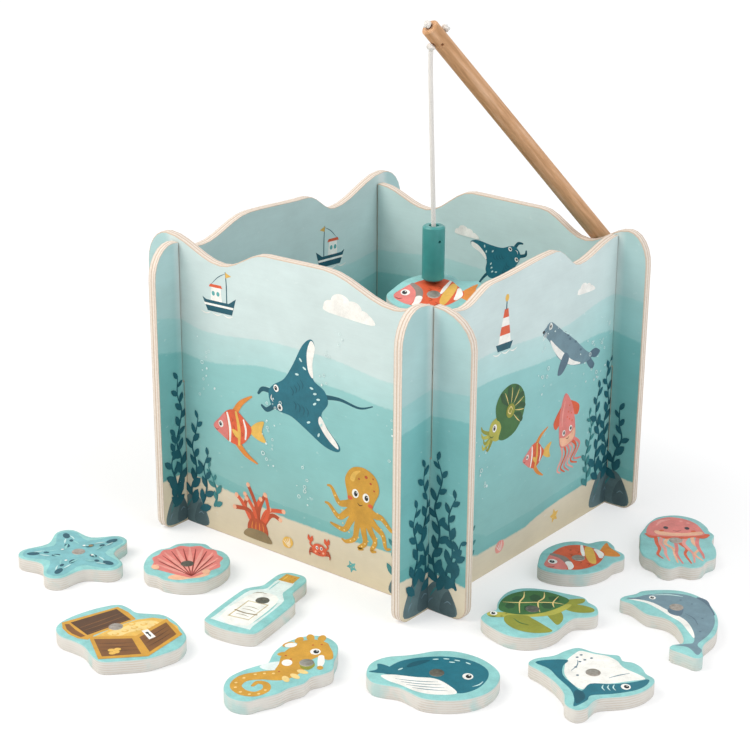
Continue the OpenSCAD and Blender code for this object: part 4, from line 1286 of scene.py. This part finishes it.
# prints copies of a stencil along the lines of every wall face, as one piece
def printAlong(name, lines, ring, finish, **settings):
    flat = bpy.data.meshes.new(name + "Stencil")
    flat.from_pydata([(x, y, 0) for x, y in ring["points"]], [], ring["faces"])
    stencil = newObject(name + "Stencil", flat)
    verts, edges, facing = [], [], []
    for face, shapes in lines.items():
        local = wallFrame(face)
        out = local.to_3x3() @ Vector((0, 0, 1))
        for shape in shapes:
            line = smoothLine(risingLine(*shape), rising["smooth"])
            edges += [(len(verts) + i, len(verts) + i + 1) for i in range(len(line) - 1)]
            verts += [(local @ Vector((x, y, layers["copies"]))) * mm for x, y in line]
            facing += [c for _ in line for c in out]
    mesh = bpy.data.meshes.new(name + "Lines")
    mesh.from_pydata(verts, edges, [])
    mesh.attributes.new("facing", "FLOAT_VECTOR", "POINT").data.foreach_set("vector", facing)
    rough = newObject(name + "Lines", mesh)
    modifier = rough.modifiers.new("copies", "NODES")
    modifier.node_group = alongLines
    settings.update(Stencil=stencil, Finish=finish, Layer=layers["repeat"] * mm,
                    Layers=layers["repeats"])
    for item in alongLines.interface.items_tree:
        if item.name.replace(" ", "") in settings:
            modifier[item.identifier] = settings[item.name.replace(" ", "")]
    done = bpy.data.meshes.new_from_object(rough.evaluated_get(
        bpy.context.evaluated_depsgraph_get()))
    done.name = name
    for spare in (rough, stencil):
        bpy.data.objects.remove(spare)
    fit(newObject(name, done), "printed_wall_ply")


# the stencils: a leaf, a bubble's ring, and a speck of spray
leaf = dict(points=[(0, 0), (0.17, 0.22), (0.24, 0.5), (0.16, 0.8), (0, 1), (-0.16, 0.8),
                    (-0.24, 0.5), (-0.17, 0.22)], faces=[tuple(range(8))])
sides = 14
bubble = dict(points=ringOf(0, 0, 1, 1, 0, sides) + ringOf(0, 0, 0.66, 0.66, 0, sides),
              faces=[(k, (k + 1) % sides, sides + (k + 1) % sides, sides + k)
                     for k in range(sides)])
spray = dict(points=ringOf(0, 0, 1, 0.8, 30, 10), faces=[tuple(range(10))])

# weeds, pale weeds and trails of bubbles on each face: x, foot, height and lean
growth = dict(
    weed=dict(frontOutside=[(-91, 14, 62, 4), (-83, 12, 40, 6), (117, 18, 60, 3),
                            (108, 15, 84, 2), (122, 20, 30, 2)],
              rightOutside=[(84, 22, 66, -3), (92, 20, 84, 2), (-116, 15, 56, 0),
                            (-108, 15, 80, 1), (-84, 12, 40, 5), (113, 18, 52, 0)],
              backInside=[(-84, 14, 70, 4), (109, 20, 50, 4)],
              leftInside=[(-110, 14, 88, 3), (-114, 14, 50, 0), (86, 12, 60, -4)],
              frontInside=[(-60, 12, 54, 3)], rightInside=[(62, 12, 66, 4), (-84, 12, 40, 3)],
              backOutside=[(-90, 14, 66, 4), (112, 12, 62, 2), (-112, 12, 74, 2)],
              leftOutside=[(88, 14, 66, 2), (-111, 12, 62, 1), (112, 12, 70, 1)]),
    paleWeed=dict(frontOutside=[(-70, 18, 26, -4), (76, 14, 34, 5)],
                  rightOutside=[(70, 22, 50, 4), (-64, 14, 30, 5)],
                  backInside=[(62, 12, 44, 4)], backOutside=[(60, 12, 50, 4)],
                  leftOutside=[(-64, 12, 44, -4)]),
    bubbles=dict(frontOutside=[(22, 130, 26, 6), (-26, 60, 50, 6), (80, 84, 44, -6),
                               (-78, 96, 30, 4), (6, 44, 22, 3)],
                 rightOutside=[(14, 110, 36, 4), (-46, 60, 26, -3), (84, 96, 44, 2),
                               (66, 104, 24, 4), (-70, 96, 40, 3)],
                 backInside=[(-40, 100, 40, 5), (70, 110, 30, 3)],
                 leftInside=[(0, 110, 40, 3)], frontInside=[(40, 90, 40, 4)],
                 rightInside=[(30, 90, 40, 4)], backOutside=[(0, 80, 50, 5), (70, 90, 40, 3)],
                 leftOutside=[(-30, 60, 50, 5), (80, 90, 44, -4), (40, 120, 20, 3)]))

for name, lines, ring, finish, mmSettings, settings in (
        ("weedLeaves", "weed", leaf, weedInk, dict(Spacing=5.4, FirstSize=12, LastSize=6.5),
         dict(SizeSpread=0.12, Turn=0.62, TurnSpread=0.16, Seed=4)),
        ("paleWeedLeaves", "paleWeed", leaf, paleWeedInk,
         dict(Spacing=4.4, FirstSize=8.5, LastSize=5),
         dict(SizeSpread=0.15, Turn=0.7, TurnSpread=0.2, Seed=9)),
        ("bubbleRings", "bubbles", bubble, foamInk,
         dict(Spacing=4.6, FirstSize=1.1, LastSize=0.8, Jitter=5.5),
         dict(SizeSpread=0.5, Seed=2)),
        ("bubbleDots", "bubbles", spray, foamInk,
         dict(Spacing=5.6, FirstSize=0.7, LastSize=0.5, Jitter=9),
         dict(SizeSpread=0.6, TurnSpread=1.0, Seed=7))):
    printAlong(name, growth[lines], ring, finish, **settings,
               **{key: size * mm for key, size in mmSettings.items()})
print("weeds and bubbles printed")

# each face's pictures, with x, y, size, turn and flip
pictures = dict(
    frontOutside=[(mantaRay(), 8, 112, 0.9, 14, True), (fishingBoat(), -64, 160, 0.8, 2),
                  (puffCloud(), 40, 176, 0.95), (angelFish(), -52, 78, 0.86, 6),
                  (octopus(), 50, 48, 0.76, -5), (anemone(), -34, 7, 0.86),
                  (crab(), 18, 13, 0.8, 5), (boulder(20, 13), 84, 5),
                  (boulder(24, 17), -90, 5), (cockle("gold"), -8, 10, 0.8, 30),
                  (sandStar("deepAqua"), 44, 10, 0.75, 30), (boulder(24, 17), 112, 5)],
    rightOutside=[(seal(), 44, 128, 0.84, 4, True), (buoy(), -30, 152, 0.9, -3),
                  (nautilus(), -26, 100, 0.86, -6), (squid(), 46, 64, 0.8, 8),
                  (angelFish(), 8, 64, 0.62, -6), (sandStar("gold"), 34, 13, 0.9, 8),
                  (boulder(26, 20), 91, 6), (cockle(), -28, 13, 0.85, 20),
                  (boulder(26, 20), -113, 6), (puffCloud(), 60, 162, 0.5)],
    backInside=[(mantaRay(), 10, 150, 0.62, 40), (puffCloud(), -18, 169, 0.5),
                (boulder(24, 20), 109, 6), (squid(), -50, 66, 0.8),
                (boulder(26, 16), -84, 6), (cockle(), 0, 12)],
    leftInside=[(fishingBoat(), 46, 150, 0.86, -3, True), (boulder(20, 17), -112, 6),
                (nautilus(), -20, 90, 0.8), (angelFish(), 50, 70, 0.8),
                (anemone(), 20, 6, 0.8)],
    frontInside=[(angelFish(), 30, 96, 0.9), (octopus(), -20, 50, 0.7),
                 (sandStar(), 40, 12), (puffCloud(), -30, 176, 0.8)],
    rightInside=[(squid(), 0, 90, 0.8), (boulder(24, 15), 62, 5),
                 (sandStar("coral"), -40, 12), (buoy(), 40, 150, 0.8)],
    backOutside=[(mantaRay(), -20, 106, 0.8, 10), (fishingBoat(), 56, 158, 0.8),
                 (octopus(), 46, 60, 0.74), (anemone(), -14, 6, 0.8),
                 (angelFish(), -62, 62, 0.76, 0, True), (boulder(22, 15), -88, 6),
                 (puffCloud(), -50, 174, 0.8), (boulder(20, 16), 112, 6),
                 (boulder(20, 15), -112, 6), (crab(), 26, 12, 0.8)],
    leftOutside=[(seal(), 6, 118, 1.0), (puffCloud(), 40, 176, 0.9),
                 (squid(), -60, 70, 0.8), (angelFish(), 56, 74, 0.8, -4, True),
                 (nautilus(), 10, 58, 0.7, 0, True), (anemone(), 40, 6, 0.8),
                 (sandStar("gold"), -24, 11), (boulder(22, 15), 88, 5),
                 (boulder(22, 16), -112, 6), (boulder(20, 15), 112, 5)])
for face, drawings in pictures.items():
    stems = [stem(colour, *shape) for colour in ("weed", "paleWeed")
             for shape in growth[colour].get(face, [])]
    printArt(face + "Pictures", wallFrame(face), stems + [moved(*d) for d in drawings],
             "printed_wall_ply")

catchArt = dict(caught_fish=bandedFishArt(), starfish=starfishArt(), shell=shellArt(),
                chest=chestArt(), bottle=bottleArt(), seahorse=seahorseArt(), whale=whaleArt(),
                shark=sharkArt(), turtle=turtleArt(), fish=bandedFishArt(),
                dolphin=dolphinArt(), jellyfish=jellyfishArt())
for node, drawing in catchArt.items():
    printArt(node + "Picture", frames[node], [drawing], "printed_catch_ply")
print("pictures printed")
